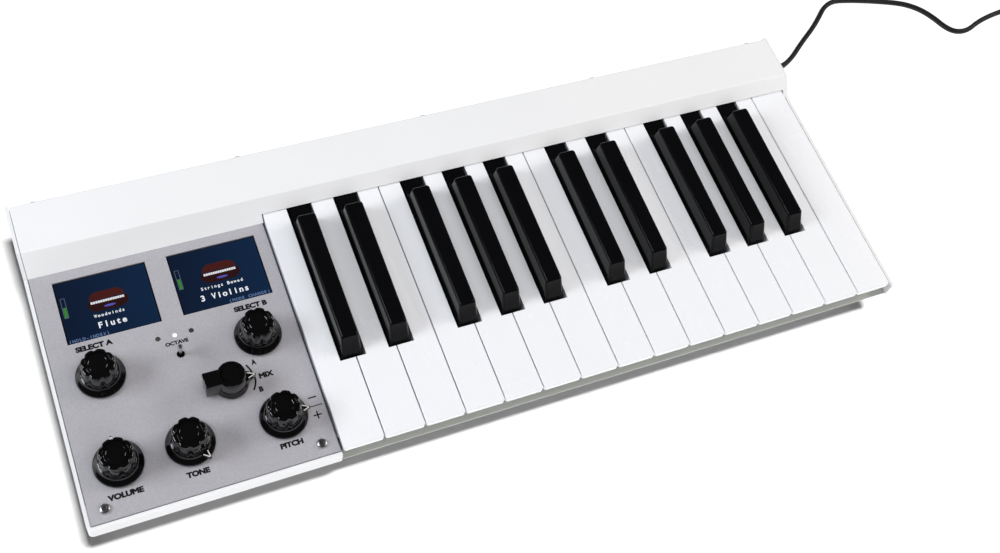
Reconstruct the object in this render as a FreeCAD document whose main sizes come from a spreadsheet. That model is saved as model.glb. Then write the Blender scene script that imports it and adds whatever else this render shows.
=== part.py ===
import FreeCAD, Part
import math
import os
import re
import Sketcher
from FreeCAD import Vector

# A small keyboard sound module: 25 full-size keys, a control panel on the left with two
# screens and six knobs, a bent sheet tray, and a rear cover over the key pivots.
# Frame: +X to the player's right, +Y away from the player, +Z up. The origin is the
# middle of the footprint, on the surface that the rubber feet stand on. Millimetres.

SIZES = {
    # overall
    "body_depth": 190.0,
    "key_top_height": 50.0,
    "foot_height": 4.0,
    "foot_radius": 8.0,
    "foot_inset": 16.0,
    # folded sheet tray
    "tray_wall": 2.0,
    "lip_drop": 4.2,
    "front_face": 9.35,
    "underside_run": 27.4,
    "cheek_rise": 6.5,
    "side_gap": 0.4,
    "corner_radius": 3.0,
    "rail_seat_drop": 15.2,
    # keys
    "key_pitch": 23.5,
    "key_gap": 0.7,
    "key_setback": 1.4,
    "keys_right_gap": 3.0,
    "key_depth": 13.0,
    "key_plate": 2.5,
    "key_lip": 3.5,
    "key_wall": 1.8,
    "head_length": 49.3,
    "black_width": 11.9,
    "black_shift": 0.6,
    "black_gap": 1.6,
    "black_rise": 11.5,
    "black_nose_width": 9.8,
    "black_back_width": 11.0,
    "black_round": 1.9,
    "black_front_gap": 1.8,
    "black_front_slope": 6.4,
    "black_back_slope": 2.6,
    "black_cap_end": 9.0,
    "black_stick_drop": 0.3,
    # pivot rod and key frame
    "pivot_setback": 7.4,
    "pivot_drop": 7.0,
    "rod_radius": 2.0,
    "rod_fit": 0.05,
    "ear_sheet": 1.6,
    "ear_gap": 0.5,
    "frame_drop": 28.0,
    "frame_sheet": 1.5,
    # rear cover
    "cover_rise": 7.7,
    "cover_sheet": 1.5,
    "cover_inset": 1.6,
    "cover_fit": 0.1,
    "cover_end_gap": 0.3,
    "cover_top_depth": 30.4,
    "cover_key_gap": 0.7,
    "cover_back_flange": 9.7,
    # control panel
    "panel_width": 131.0,
    "panel_key_gap": 0.6,
    "panel_drop": 3.2,
    "panel_sheet": 2.0,
    "panel_front_gap": 0.3,
    "panel_tuck": 5.0,
    "panel_flange": 19.0,
    "board_gap": 9.8,
    "board_sheet": 1.6,
    # places on the panel, from its left front corner
    "volume_across": 20.4,
    "volume_back": 27.6,
    "tone_across": 57.5,
    "tone_back": 27.5,
    "pitch_across": 107.5,
    "pitch_back": 27.2,
    "mix_across": 86.6,
    "mix_back": 53.7,
    "select_a_across": 23.3,
    "select_a_back": 77.9,
    "select_b_across": 108.2,
    "select_b_back": 77.6,
    "toggle_across": 65.9,
    "toggle_back": 78.6,
    "led_across": 65.7,
    "led_back": 90.7,
    "led_pitch": 9.1,
    "screen_a_across": 11.1,
    "screen_b_across": 73.2,
    "screen_back": 100.5,
    "screen_width": 50.4,
    "screen_height": 38.5,
    "screw_a_across": 8.4,
    "screw_b_across": 122.3,
    "screw_back": 6.7,
    # knobs and controls
    "knob_radius": 13.0,
    "knob_height": 17.0,
    "knob_top_radius": 9.4,
    "knob_waist": 6.2,
    "knob_lift": 1.0,
    "mix_radius": 9.3,
    "mix_top_radius": 7.8,
    "mix_height": 14.5,
    "mix_bar_reach": 14.6,
    "mix_bar_width": 9.0,
    "pointer_reach": 13.4,
    "pointer_tip": 14.6,
    "pointer_root": 7.0,
    "pointer_half": 3.3,
    "pointer_base": 1.2,
    "pointer_thick": 3.0,
    "shaft_radius": 3.0,
    "shaft_fit": 0.05,
    "shaft_bite": 10.0,
    "led_radius": 1.25,
    "bushing_radius": 2.0,
    "lever_root_radius": 0.7,
    "lever_tip_radius": 1.5,
    "lever_height": 10.5,
    # connectors on the rear wall
    "jack_radius": 3.2,
    "jack_body": 16.0,
    "jack_length": 24.0,
    "jack_pitch": 24.0,
    "jack_across": 22.0,
    "jack_height": 22.0,
    "usb_across": 98.0,
    "inlet_inset": 21.5,
    "inlet_height": 13.5,
    "plug_radius": 2.7,
    "plug_fit": 0.05,
    # supply lead
    "cord_radius": 1.75,
}

FRONT = "(-body_depth / 2)"
BACK = "(body_depth / 2)"
WHITE_KEYS = 15
KEYS_WIDE = f"({WHITE_KEYS} * key_pitch)"
HALF_WIDTH = (
    "(tray_wall + (side_gap + panel_width + panel_key_gap"
    f" + {KEYS_WIDE} + keys_right_gap) / 2)"
)
PANEL_LEFT = f"(-{HALF_WIDTH} + tray_wall + side_gap)"
PANEL_RIGHT = f"({PANEL_LEFT} + panel_width)"
PANEL_FRONT = f"({FRONT} + tray_wall + panel_front_gap)"
PANEL_TOP = "(key_top_height - panel_drop)"
PANEL_UNDER = f"({PANEL_TOP} - panel_sheet)"
BOARD_TOP = f"({PANEL_UNDER} - board_gap)"
KEYS_LEFT = f"({PANEL_RIGHT} + panel_key_gap)"
KEYS_RIGHT = f"({KEYS_LEFT} + {KEYS_WIDE})"
KEYS_FRONT = f"({FRONT} + key_setback)"
LIP_TOP = "(key_top_height - lip_drop)"
KNEE = f"({LIP_TOP} - front_face)"
UNDERSIDE_DROP = f"({KNEE} - foot_height)"
COVER_BACK = f"({BACK} - cover_inset)"
WALL_OUTER = f"({COVER_BACK} - cover_sheet - cover_fit)"
WALL_INNER = f"({WALL_OUTER} - tray_wall)"
CREASE = f"({COVER_BACK} - cover_top_depth)"
COVER_TOP = "(key_top_height + cover_rise)"
FLANGE_SLANT = "1.4142"
PIVOT_Y = f"({WALL_INNER} - pivot_setback)"
PIVOT_Z = "(key_top_height - pivot_drop)"
PIVOT_ALONG = f"({PIVOT_Y} - {KEYS_FRONT})"
KEY_TAIL = "4"
KEY_END = f"({PIVOT_ALONG} + {KEY_TAIL})"
TRAY_FLOOR = "(foot_height + tray_wall)"
FRAME_TOP = "(key_top_height - frame_drop)"
SLOT_CDE = "(3 * key_pitch / 5)"
SLOT_FGAB = "(4 * key_pitch / 7)"

os.makedirs("parts", exist_ok=True)
doc = FreeCAD.newDocument("KeyboardModule")
sheet = doc.addObject("Spreadsheet::Sheet", "Sizes")
for row, (alias, amount) in enumerate(SIZES.items(), start=1):
    sheet.set(f"A{row}", alias)
    sheet.set(f"B{row}", str(amount))
    sheet.setAlias(f"B{row}", alias)
doc.recompute()

parts = []


def bound(text):
    """The expression with each size's name given its sheet."""
    def add_sheet(match):
        word = match.group(0)
        return "Sizes." + word if word in SIZES else word
    return re.sub(r"[a-z][a-z_]*", add_sheet, text)


def size(alias):
    """A size as the sheet holds it now."""
    return float(getattr(sheet, alias))


def bind(thing, **expressions):
    """Bind properties such as Length, or Placement_Base_x, to expressions."""
    for name, text in expressions.items():
        thing.setExpression(name.replace("_", "."), bound(text))


def keep(thing, label):
    """Name a sub-part and put it on the list that is written out."""
    thing.Label = label
    parts.append(thing)
    return thing


def place(thing, x="0", y="0", z="0"):
    bind(thing, Placement_Base_x=x, Placement_Base_y=y, Placement_Base_z=z)
    return thing


# ---- sketches and features ---------------------------------------------------------

def new_body(label):
    return keep(doc.addObject("PartDesign::Body", label), label)


def new_sketch(body, plane, lift="0"):
    """A sketch on one of the body's own origin planes, lifted along its normal."""
    sketch = body.newObject("Sketcher::SketchObject", "Outline")
    support = [f for f in body.Origin.OriginFeatures if f.Role == plane][0]
    sketch.AttachmentSupport = [(support, "")]
    sketch.MapMode = "FlatFace"
    sketch.setExpression("AttachmentOffset.Base.z", bound(lift))
    return sketch


def pin_point(sketch, item, x, y, where=1):
    """Hold one point of a line, or a circle's centre, at x, y from the origin."""
    for kind, text in (("DistanceX", x), ("DistanceY", y)):
        index = sketch.addConstraint(Sketcher.Constraint(kind, -1, 1, item, where, 1.0))
        sketch.setExpression(f"Constraints[{index}]", bound(text))


def add_polygon(sketch, corners):
    first = sketch.GeometryCount
    count = len(corners)
    ring = [
        Vector(10 * math.cos(2 * math.pi * i / count), 10 * math.sin(2 * math.pi * i / count), 0)
        for i in range(count)
    ]
    lines = [Part.LineSegment(ring[i], ring[(i + 1) % count]) for i in range(count)]
    sketch.addGeometry(lines, False)
    for i in range(count):
        after = first + (i + 1) % count
        sketch.addConstraint(Sketcher.Constraint("Coincident", first + i, 2, after, 1))
    for i, (x, y) in enumerate(corners):
        pin_point(sketch, first + i, x, y)


def add_rectangle(sketch, x0, y0, x1, y1):
    add_polygon(sketch, [(x0, y0), (x1, y0), (x1, y1), (x0, y1)])


def add_circle(sketch, x, y, radius):
    item = sketch.addGeometry(Part.Circle(Vector(1, 1, 0), Vector(0, 0, 1), 2.0), False)
    pin_point(sketch, item, x, y, 3)
    index = sketch.addConstraint(Sketcher.Constraint("Radius", item, 2.0))
    sketch.setExpression(f"Constraints[{index}]", bound(radius))


def pad(body, sketch, length, both_sides=False, backwards=False):
    feature = body.newObject("PartDesign::Pad", "Pad")
    feature.Profile = sketch
    feature.Midplane = both_sides
    feature.Reversed = backwards
    bind(feature, Length=length)
    doc.recompute()
    return feature


def pocket(body, sketch, length, both_sides=False, backwards=False):
    """Cut a sketch's shape. A pocket that takes nothing away stops the build."""
    before = body.Shape.Volume
    feature = body.newObject("PartDesign::Pocket", "Pocket")
    feature.Profile = sketch
    feature.Midplane = both_sides
    feature.Reversed = backwards
    bind(feature, Length=length)
    doc.recompute()
    if body.Shape.Volume > before - 0.01:
        raise RuntimeError(f"a pocket in {body.Label} cuts nothing")
    return feature


def revolve(body, sketch):
    """Turn a sketch of the XZ plane once round the vertical axis."""
    feature = body.newObject("PartDesign::Revolution", "Revolution")
    feature.Profile = sketch
    feature.ReferenceAxis = (sketch, ["V_Axis"])
    feature.Angle = 360.0
    doc.recompute()
    return feature


def fillet(body, radius, wanted):
    """Round the edges of the body's last feature for which wanted(edge) is true."""
    base = body.Tip
    names = [f"Edge{i}" for i, edge in enumerate(base.Shape.Edges, start=1) if wanted(edge)]
    if not names:
        raise RuntimeError(f"no edge to round in {body.Label}")
    feature = body.newObject("PartDesign::Fillet", "Fillet")
    feature.Base = (base, names)
    bind(feature, Radius=radius)
    doc.recompute()
    return feature


def along(edge, axis):
    """True for a straight edge that runs along the axis, 0, 1 or 2."""
    if edge.Curve.TypeId != "Part::GeomLine":
        return False
    return abs(edge.Curve.Direction[axis]) > 0.999


def near(value, target):
    return abs(value - target) < 0.02


def middle(edge):
    return edge.BoundBox.Center


def box(x, y, z, length, width, height):
    block = doc.addObject("Part::Box", "Block")
    bind(block, Length=length, Width=width, Height=height)
    return place(block, x, y, z)


def cylinder(x, y, z, radius, height, axis="Z"):
    """A round bar from x, y, z along +Z, +X or +Y."""
    bar = doc.addObject("Part::Cylinder", "Bar")
    turns = {
        "Z": FreeCAD.Rotation(),
        "X": FreeCAD.Rotation(Vector(0, 1, 0), 90),
        "Y": FreeCAD.Rotation(Vector(1, 0, 0), -90),
    }
    bar.Placement = FreeCAD.Placement(Vector(), turns[axis])
    bind(bar, Radius=radius, Height=height)
    return place(bar, x, y, z)


def cone(x, y, z, low_radius, high_radius, height):
    shape = doc.addObject("Part::Cone", "Cone")
    bind(shape, Radius1=low_radius, Radius2=high_radius, Height=height)
    return place(shape, x, y, z)


def fuse(pieces):
    joined = doc.addObject("Part::MultiFuse", "Joined")
    joined.Shapes = pieces
    return joined


def cut(base, tool):
    result = doc.addObject("Part::Cut", "Cut")
    result.Base = base
    result.Tool = tool
    doc.recompute()
    if result.Shape.Volume > base.Shape.Volume - 0.01:
        raise RuntimeError("a cut takes nothing away")
    return result


def group(pieces):
    """Separate like solids that share one node."""
    bundle = doc.addObject("Part::Compound", "Group")
    bundle.Links = pieces
    return bundle


# ---- tray, cover and panel ----------------------------------------------------------

def make_tray():
    """One folded sheet: floor, sloped front, two cheeks, rear wall, lip and panel shelf."""
    body = new_body("base_tray")
    outline = new_sketch(body, "YZ_Plane")
    cheek_top = "(key_top_height + cheek_rise)"
    cheek_crease = f"({CREASE} + 0.5)"
    add_polygon(outline, [
        (FRONT, LIP_TOP),
        (FRONT, KNEE),
        (f"{FRONT} + underside_run", "foot_height"),
        (BACK, "foot_height"),
        (BACK, cheek_top),
        (cheek_crease, cheek_top),
        (f"{cheek_crease} - (cheek_rise + lip_drop)", LIP_TOP),
    ])
    pad(body, outline, f"2 * {HALF_WIDTH}", both_sides=True)
    half = body.Shape.BoundBox.XMax
    front = body.Shape.BoundBox.YMin
    fillet(body, "corner_radius",
           lambda e: along(e, 2) and near(middle(e).y, front) and near(abs(middle(e).x), half))

    between = f"2 * ({HALF_WIDTH} - tray_wall)"
    slant = f"(sqrt(underside_run * underside_run + {UNDERSIDE_DROP} * {UNDERSIDE_DROP}))"
    inner_knee = f"({KNEE} + tray_wall * ({slant} - {UNDERSIDE_DROP}) / underside_run)"
    inner_foot = (
        f"({FRONT} + (tray_wall * {slant} + ({UNDERSIDE_DROP} - tray_wall) * underside_run)"
        f" / {UNDERSIDE_DROP})"
    )
    above = f"({COVER_TOP} + 5)"
    inside = new_sketch(body, "YZ_Plane")
    add_polygon(inside, [
        (f"{FRONT} + tray_wall", above),
        (f"{FRONT} + tray_wall", inner_knee),
        (inner_foot, TRAY_FLOOR),
        (WALL_INNER, TRAY_FLOOR),
        (WALL_INNER, above),
    ])
    pocket(body, inside, between, both_sides=True)

    behind = new_sketch(body, "YZ_Plane")
    add_rectangle(behind, WALL_OUTER, "-1", f"{BACK} + 1", above)
    pocket(body, behind, between, both_sides=True)

    wall_top = new_sketch(body, "YZ_Plane")
    add_rectangle(wall_top, f"{WALL_INNER} - 1", f"{COVER_TOP} - cover_sheet - cover_fit",
                  f"{BACK} + 1", above)
    pocket(body, wall_top, between, both_sides=True)

    key_side = new_sketch(body, "YZ_Plane", PANEL_RIGHT)
    add_rectangle(key_side, f"{FRONT} - 1", "key_top_height - rail_seat_drop",
                  f"{FRONT} + 8", above)
    pocket(body, key_side, f"panel_key_gap + {KEYS_WIDE} + keys_right_gap", backwards=True)

    shelf = new_sketch(body, "YZ_Plane", f"-{HALF_WIDTH} + tray_wall / 2")
    add_rectangle(shelf, f"{FRONT} + tray_wall / 2", f"{PANEL_UNDER} - tray_wall",
                  f"{FRONT} + tray_wall + 12.4", PANEL_UNDER)
    pad(body, shelf, "panel_width - 3")

    posts = new_sketch(body, "XY_Plane", f"{TRAY_FLOOR} - tray_wall / 2")
    for across in ("screw_a_across", "screw_b_across"):
        add_circle(posts, f"{PANEL_LEFT} + {across}", f"{CREASE} - 11", "4")
    pad(body, posts, f"{PANEL_UNDER} - {TRAY_FLOOR} + tray_wall / 2")

    threads = new_sketch(body, "XY_Plane", f"{PANEL_UNDER} + 0.5")
    for across in ("screw_a_across", "screw_b_across"):
        add_circle(threads, f"{PANEL_LEFT} + {across}", f"{PANEL_FRONT} + screw_back", "1.5")
    pocket(body, threads, "tray_wall + 1")

    rear = new_sketch(body, "XZ_Plane", f"-({WALL_INNER} - 0.5)")
    for step in range(3):
        add_circle(rear, f"{PANEL_LEFT} + jack_across + {step} * jack_pitch", "jack_height",
                   "jack_radius + 1.5")
    add_rectangle(rear, f"{PANEL_LEFT} + usb_across - 6.2", "jack_height - 5.7",
                  f"{PANEL_LEFT} + usb_across + 6.2", "jack_height + 5.7")
    add_rectangle(rear, f"{HALF_WIDTH} - inlet_inset - 4.6", "inlet_height - 5.6",
                  f"{HALF_WIDTH} - inlet_inset + 4.6", "inlet_height + 5.6")
    for across in cover_screw_places():
        add_circle(rear, across, COVER_SCREW_Z, "1.5")
    pocket(body, rear, "tray_wall + 1")

    def outer_fold(edge):
        at = middle(edge)
        if not along(edge, 0) or edge.Length < 400:
            return False
        return near(at.z, size("foot_height")) and at.y < 0
    fillet(body, "tray_wall", outer_fold)


COVER_SCREW_Z = "(key_top_height + 2.6)"


def cover_screw_places():
    spread = f"(2 * {HALF_WIDTH} - 30) / 4"
    return [f"-{HALF_WIDTH} + 15 + {step} * {spread}" for step in range(5)]


def make_cover():
    """The bent rear cover: top, 45 degree front flange, and a short rear flange."""
    body = new_body("rear_cover")
    outline = new_sketch(body, "YZ_Plane")
    low = f"({PANEL_TOP} + cover_fit)"
    low_front = f"({CREASE} - ({COVER_TOP} - {low}))"
    slant = f"(cover_sheet * {FLANGE_SLANT})"
    under = f"({COVER_TOP} - cover_sheet)"
    flange_end = f"({COVER_TOP} - cover_back_flange)"
    add_polygon(outline, [
        (low_front, low),
        (f"{low_front} + {slant}", low),
        (f"{CREASE} + {slant} - cover_sheet", under),
        (f"{COVER_BACK} - cover_sheet", under),
        (f"{COVER_BACK} - cover_sheet", flange_end),
        (COVER_BACK, flange_end),
        (COVER_BACK, COVER_TOP),
        (CREASE, COVER_TOP),
    ])
    pad(body, outline, f"2 * ({HALF_WIDTH} - tray_wall - cover_end_gap)", both_sides=True)
    over_keys = new_sketch(body, "YZ_Plane", f"{KEYS_LEFT} - 0.3")
    add_rectangle(over_keys, f"{CREASE} - 20", f"{PANEL_TOP} - 5", f"{CREASE} - 1",
                  "key_top_height + cover_key_gap")
    pocket(body, over_keys, f"{KEYS_WIDE} + 1", backwards=True)
    holes = new_sketch(body, "XZ_Plane", f"-({COVER_BACK} - cover_sheet - 0.5)")
    for across in cover_screw_places():
        add_circle(holes, across, COVER_SCREW_Z, "1.7")
    pocket(body, holes, "cover_sheet + 1")
    top = size("key_top_height") + size("cover_rise")
    fillet(body, "cover_sheet * 0.8",
           lambda e: along(e, 0) and near(middle(e).z, top) and e.Length > 100)


def panel_spot(name):
    return f"{PANEL_LEFT} + {name}_across", f"{PANEL_FRONT} + {name}_back"


def make_panel():
    """The control panel plate, with a folded edge beside the keys and four board studs."""
    body = new_body("control_panel")
    panel_back = f"({CREASE} - ({COVER_TOP} - {PANEL_TOP}) + panel_tuck)"
    plate = new_sketch(body, "XY_Plane", PANEL_UNDER)
    add_rectangle(plate, PANEL_LEFT, PANEL_FRONT, PANEL_RIGHT, panel_back)
    pad(body, plate, "panel_sheet")
    top = body.Shape.BoundBox.ZMax
    right = body.Shape.BoundBox.XMax
    edge_fold = new_sketch(body, "XY_Plane", f"{PANEL_UNDER} - panel_flange")
    add_rectangle(edge_fold, f"{PANEL_RIGHT} - panel_sheet", f"{PANEL_FRONT} + 14",
                  PANEL_RIGHT, panel_back)
    pad(body, edge_fold, "panel_flange + 0.5")
    fillet(body, "panel_sheet * 0.75",
           lambda e: along(e, 1) and near(middle(e).z, top) and near(middle(e).x, right))
    studs = new_sketch(body, "XY_Plane", BOARD_TOP)
    for x in (f"{PANEL_LEFT} + 5.5", f"{PANEL_RIGHT} - 5.4"):
        for y in (f"{PANEL_FRONT} + 19", f"{PANEL_FRONT} + 91"):
            add_circle(studs, x, y, "2")
    pad(body, studs, "board_gap + 0.5")
    holes = new_sketch(body, "XY_Plane", f"{PANEL_TOP} + 0.5")
    for name in KNOBS:
        add_circle(holes, *panel_spot(name), "shaft_radius + 0.5")
    add_circle(holes, *panel_spot("toggle"), "bushing_radius + 0.15")
    for step in (-1, 0, 1):
        x, y = panel_spot("led")
        add_circle(holes, f"{x} + {step} * led_pitch", y, "led_radius + 0.2")
    for across in ("screw_a_across", "screw_b_across"):
        add_circle(holes, f"{PANEL_LEFT} + {across}", f"{PANEL_FRONT} + screw_back", "1.7")
    for across in ("screen_a_across", "screen_b_across"):
        x = f"{PANEL_LEFT} + {across}"
        y = f"{PANEL_FRONT} + screen_back"
        add_rectangle(holes, x, y, f"{x} + screen_width", f"{y} + screen_height")
    pocket(body, holes, "panel_sheet + 1")


def make_front_rail():
    """The rail under the key fronts, which closes the top of the sloped front."""
    body = new_body("front_rail")
    seat = "(key_top_height - rail_seat_drop)"
    outline = new_sketch(body, "YZ_Plane", f"{PANEL_RIGHT} + 0.2")
    add_polygon(outline, [
        (f"{KEYS_FRONT} - 0.15", f"{seat} + 0.05"),
        (f"{KEYS_FRONT} - 0.15", f"{seat} + 1.0"),
        (f"{KEYS_FRONT} + 4.6", f"{seat} + 1.0"),
        (f"{KEYS_FRONT} + 4.6", f"{seat} - 0.8"),
        (f"{KEYS_FRONT} + 3.4", f"{seat} - 0.8"),
        (f"{KEYS_FRONT} + 3.4", f"{seat} + 0.05"),
    ])
    pad(body, outline, f"panel_key_gap + {KEYS_WIDE} + keys_right_gap - 0.4")


def make_feet():
    feet = []
    for x in (f"-{HALF_WIDTH} + foot_inset", f"{HALF_WIDTH} - foot_inset"):
        for y in (f"{FRONT} + underside_run + foot_radius + 1", f"{BACK} - foot_inset"):
            feet.append(cylinder(x, y, "0", "foot_radius", "foot_height"))
    keep(group(feet), "rubber_feet")


# ---- keys ---------------------------------------------------------------------------

# Within an octave: each white key's number and its slot at the pivots, and the black keys'.
GROUP_F = "(3 * key_pitch)"
WHITE_SLOTS = [
    ("0", SLOT_CDE), (f"2 * {SLOT_CDE}", f"3 * {SLOT_CDE}"), (f"4 * {SLOT_CDE}", GROUP_F),
    (GROUP_F, f"{GROUP_F} + {SLOT_FGAB}"),
    (f"{GROUP_F} + 2 * {SLOT_FGAB}", f"{GROUP_F} + 3 * {SLOT_FGAB}"),
    (f"{GROUP_F} + 4 * {SLOT_FGAB}", f"{GROUP_F} + 5 * {SLOT_FGAB}"),
    (f"{GROUP_F} + 6 * {SLOT_FGAB}", "7 * key_pitch"),
]
BLACK_SLOTS = {
    0: (SLOT_CDE, f"2 * {SLOT_CDE}"),
    1: (f"3 * {SLOT_CDE}", f"4 * {SLOT_CDE}"),
    3: (f"{GROUP_F} + {SLOT_FGAB}", f"{GROUP_F} + 2 * {SLOT_FGAB}"),
    4: (f"{GROUP_F} + 3 * {SLOT_FGAB}", f"{GROUP_F} + 4 * {SLOT_FGAB}"),
    5: (f"{GROUP_F} + 5 * {SLOT_FGAB}", f"{GROUP_F} + 6 * {SLOT_FGAB}"),
}


def black_centre(number):
    low, high = BLACK_SLOTS[number]
    return f"(({low} + {high}) / 2 + black_shift)"


def rear_width(low, high):
    inset = "(ear_sheet / 2 + ear_gap)"
    return f"({low} + {inset})", f"({high} - {inset})"


def make_bore(body):
    """The hole for the pivot rod, through the whole key."""
    bore = new_sketch(body, "YZ_Plane")
    add_circle(bore, PIVOT_ALONG, "-pivot_drop", "rod_radius + rod_fit")
    pocket(body, bore, "3 * key_pitch", both_sides=True)


def make_white_key(order):
    """A white key, its origin at its slot's left front top corner."""
    number = order % 7
    last = order == WHITE_KEYS - 1
    shift = f" - {number} * key_pitch"
    left, right = "key_gap / 2", "(key_pitch - key_gap / 2)"
    tail_left, tail_right = left, right
    if number - 1 in BLACK_SLOTS and number > 0:
        tail_left = f"({black_centre(number - 1)} + black_width / 2 + black_gap{shift})"
    if number in BLACK_SLOTS and not last:
        tail_right = f"({black_centre(number)} - black_width / 2 - black_gap{shift})"
    low, high = WHITE_SLOTS[number]
    rear_low, rear_high = rear_width(f"({low}{shift})", f"({high}{shift})")
    if last:
        rear_low, rear_high = rear_width("0", "key_pitch")
    rear_start = f"({PIVOT_ALONG} - 8)"

    corners = [(left, "0"), (right, "0")]
    if tail_right != right:
        corners += [(right, "head_length"), (tail_right, "head_length")]
    corners += [(tail_right, rear_start), (rear_high, rear_start), (rear_high, KEY_END)]
    corners += [(rear_low, KEY_END), (rear_low, rear_start), (tail_left, rear_start)]
    if tail_left != left:
        corners += [(tail_left, "head_length"), (left, "head_length")]

    body = new_body(f"white_key_{order + 1:02d}")
    outline = new_sketch(body, "XY_Plane")
    add_polygon(outline, corners)
    pad(body, outline, "key_depth", backwards=True)
    relief = new_sketch(body, "YZ_Plane", "-1")
    add_polygon(relief, [("-1", "-key_lip"), ("8", "-key_lip"), ("14", "-key_depth - 1"),
                         ("-1", "-key_depth - 1")])
    pocket(body, relief, "key_pitch + 2", backwards=True)
    hollow = new_sketch(body, "XY_Plane", "-key_depth - 1")
    add_rectangle(hollow, f"{tail_left} + key_wall", "18", f"{tail_right} - key_wall",
                  f"{rear_start} - 6")
    pocket(body, hollow, "key_depth - key_plate + 1", backwards=True)
    make_bore(body)
    fillet(body, "1.6", lambda e: along(e, 2) and near(middle(e).y, 0.0))

    def top_rim(edge):
        at = middle(edge)
        return near(at.z, 0.0) and at.y < size("head_length") + 0.1 and edge.BoundBox.ZLength < 0.01
    fillet(body, "0.45", top_rim)
    octave = order // 7
    place(body, f"{KEYS_LEFT} + {octave * 7 + number} * key_pitch", KEYS_FRONT, "key_top_height")


def make_black_key(order):
    """A black key: a low stick on the pivot, and a tapered cap over its front."""
    octave, number = divmod(order, 5)
    number = sorted(BLACK_SLOTS)[number]
    centre = black_centre(number)
    low, high = BLACK_SLOTS[number]
    rear_low, rear_high = rear_width(f"({low} - {centre})", f"({high} - {centre})")
    half = "black_width / 2"
    front = "(head_length + black_front_gap)"
    rear_start = f"({PIVOT_ALONG} - 8)"
    cap_end = f"({CREASE} - ({COVER_TOP} - key_top_height) - black_cap_end - {KEYS_FRONT})"

    body = new_body(f"black_key_{order + 1:02d}")
    stick = new_sketch(body, "XY_Plane", "-black_stick_drop")
    add_polygon(stick, [
        (f"-{half}", front), (half, front), (half, rear_start), (rear_high, rear_start),
        (rear_high, KEY_END), (rear_low, KEY_END), (rear_low, rear_start), (f"-{half}", rear_start),
    ])
    pad(body, stick, "key_depth - black_stick_drop", backwards=True)
    foot = new_sketch(body, "XY_Plane", "-black_stick_drop")
    add_rectangle(foot, f"-{half}", front, half, cap_end)
    crown = new_sketch(body, "XY_Plane", "black_rise")
    nose = "black_nose_width / 2"
    back = "black_back_width / 2"
    crown_front = f"{front} + black_front_slope"
    crown_back = f"{cap_end} - black_back_slope"
    add_polygon(crown, [
        (f"-{nose}", crown_front), (nose, crown_front), (back, crown_back), (f"-{back}", crown_back),
    ])
    loft = body.newObject("PartDesign::AdditiveLoft", "Cap")
    loft.Profile = foot
    loft.Sections = [crown]
    loft.Ruled = True
    doc.recompute()
    hollow = new_sketch(body, "XY_Plane", "-key_depth - 1")
    add_rectangle(hollow, f"-{half} + key_wall", f"{front} + key_wall + 2", f"{half} - key_wall",
                  f"{rear_start} - 6")
    pocket(body, hollow, "key_depth - key_plate + 1", backwards=True)
    make_bore(body)
    rise = size("black_rise")

    def crown_rim(edge):
        return edge.BoundBox.ZLength < 0.01 and near(middle(edge).z, rise)

    def cap_corner(edge):
        return edge.BoundBox.ZMax > rise - 0.05 and edge.BoundBox.ZLength > rise * 0.9
    fillet(body, "black_round", lambda e: crown_rim(e) or cap_corner(e))
    place(body, f"{KEYS_LEFT} + {octave * 7} * key_pitch + {centre}", KEYS_FRONT, "key_top_height")


def slot_edges():
    """Every boundary between neighbouring keys at the pivots, from the first key's left."""
    edges = []
    for octave in range(2):
        start = f"({octave} * 7 * key_pitch)"
        edges += [f"({start} + {step} * {SLOT_CDE})" for step in range(5)]
        edges += [f"({start} + {GROUP_F} + {step} * {SLOT_FGAB})" for step in range(7)]
    edges.append("(14 * key_pitch)")
    edges.append("(15 * key_pitch)")
    return edges


def make_key_chassis():
    """The steel frame under the keys, with a comb of ears that carries the pivot rod."""
    body = new_body("key_chassis")
    left = f"({KEYS_LEFT} - 0.2)"
    wide = f"({KEYS_WIDE} + keys_right_gap - 0.8)"
    rear = f"({WALL_INNER} - 1.4)"
    front = f"({KEYS_FRONT} + 16)"
    web = f"({KEYS_FRONT} + 30)"
    under = f"({FRAME_TOP} - frame_sheet)"
    outline = new_sketch(body, "YZ_Plane", left)
    add_polygon(outline, [
        (front, FRAME_TOP), (rear, FRAME_TOP), (rear, TRAY_FLOOR),
        (f"{rear} - frame_sheet", TRAY_FLOOR), (f"{rear} - frame_sheet", under),
        (f"{web} + frame_sheet", under), (f"{web} + frame_sheet", TRAY_FLOOR), (web, TRAY_FLOOR),
        (web, under), (front, under),
    ])
    pad(body, outline, wide)
    comb = new_sketch(body, "XY_Plane", under)
    half = "ear_sheet / 2"
    for index, edge in enumerate(slot_edges()):
        x = f"({KEYS_LEFT} + {edge})"
        x0, x1 = f"{x} - {half}", f"{x} + {half}"
        if index == 0:
            x0 = left
        add_rectangle(comb, x0, f"{PIVOT_Y} - 5", x1, rear)
    pad(body, comb, f"{PIVOT_Z} + 4.5 - {under}")
    bore = new_sketch(body, "YZ_Plane", f"{left} - 1")
    add_circle(bore, PIVOT_Y, PIVOT_Z, "rod_radius + rod_fit / 2")
    pocket(body, bore, f"{wide} + 5", backwards=True)
    inlet = new_sketch(body, "YZ_Plane", f"{HALF_WIDTH} - inlet_inset - 7")
    add_rectangle(inlet, f"{rear} - 20", "0", f"{rear} + 1", f"{under} - 0.3")
    pocket(body, inlet, "14", backwards=True)


def make_rod():
    rod = cylinder(f"{KEYS_LEFT} + 0.2", PIVOT_Y, PIVOT_Z, "rod_radius", f"{KEYS_WIDE} + 0.4", "X")
    keep(rod, "pivot_rod")


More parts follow.
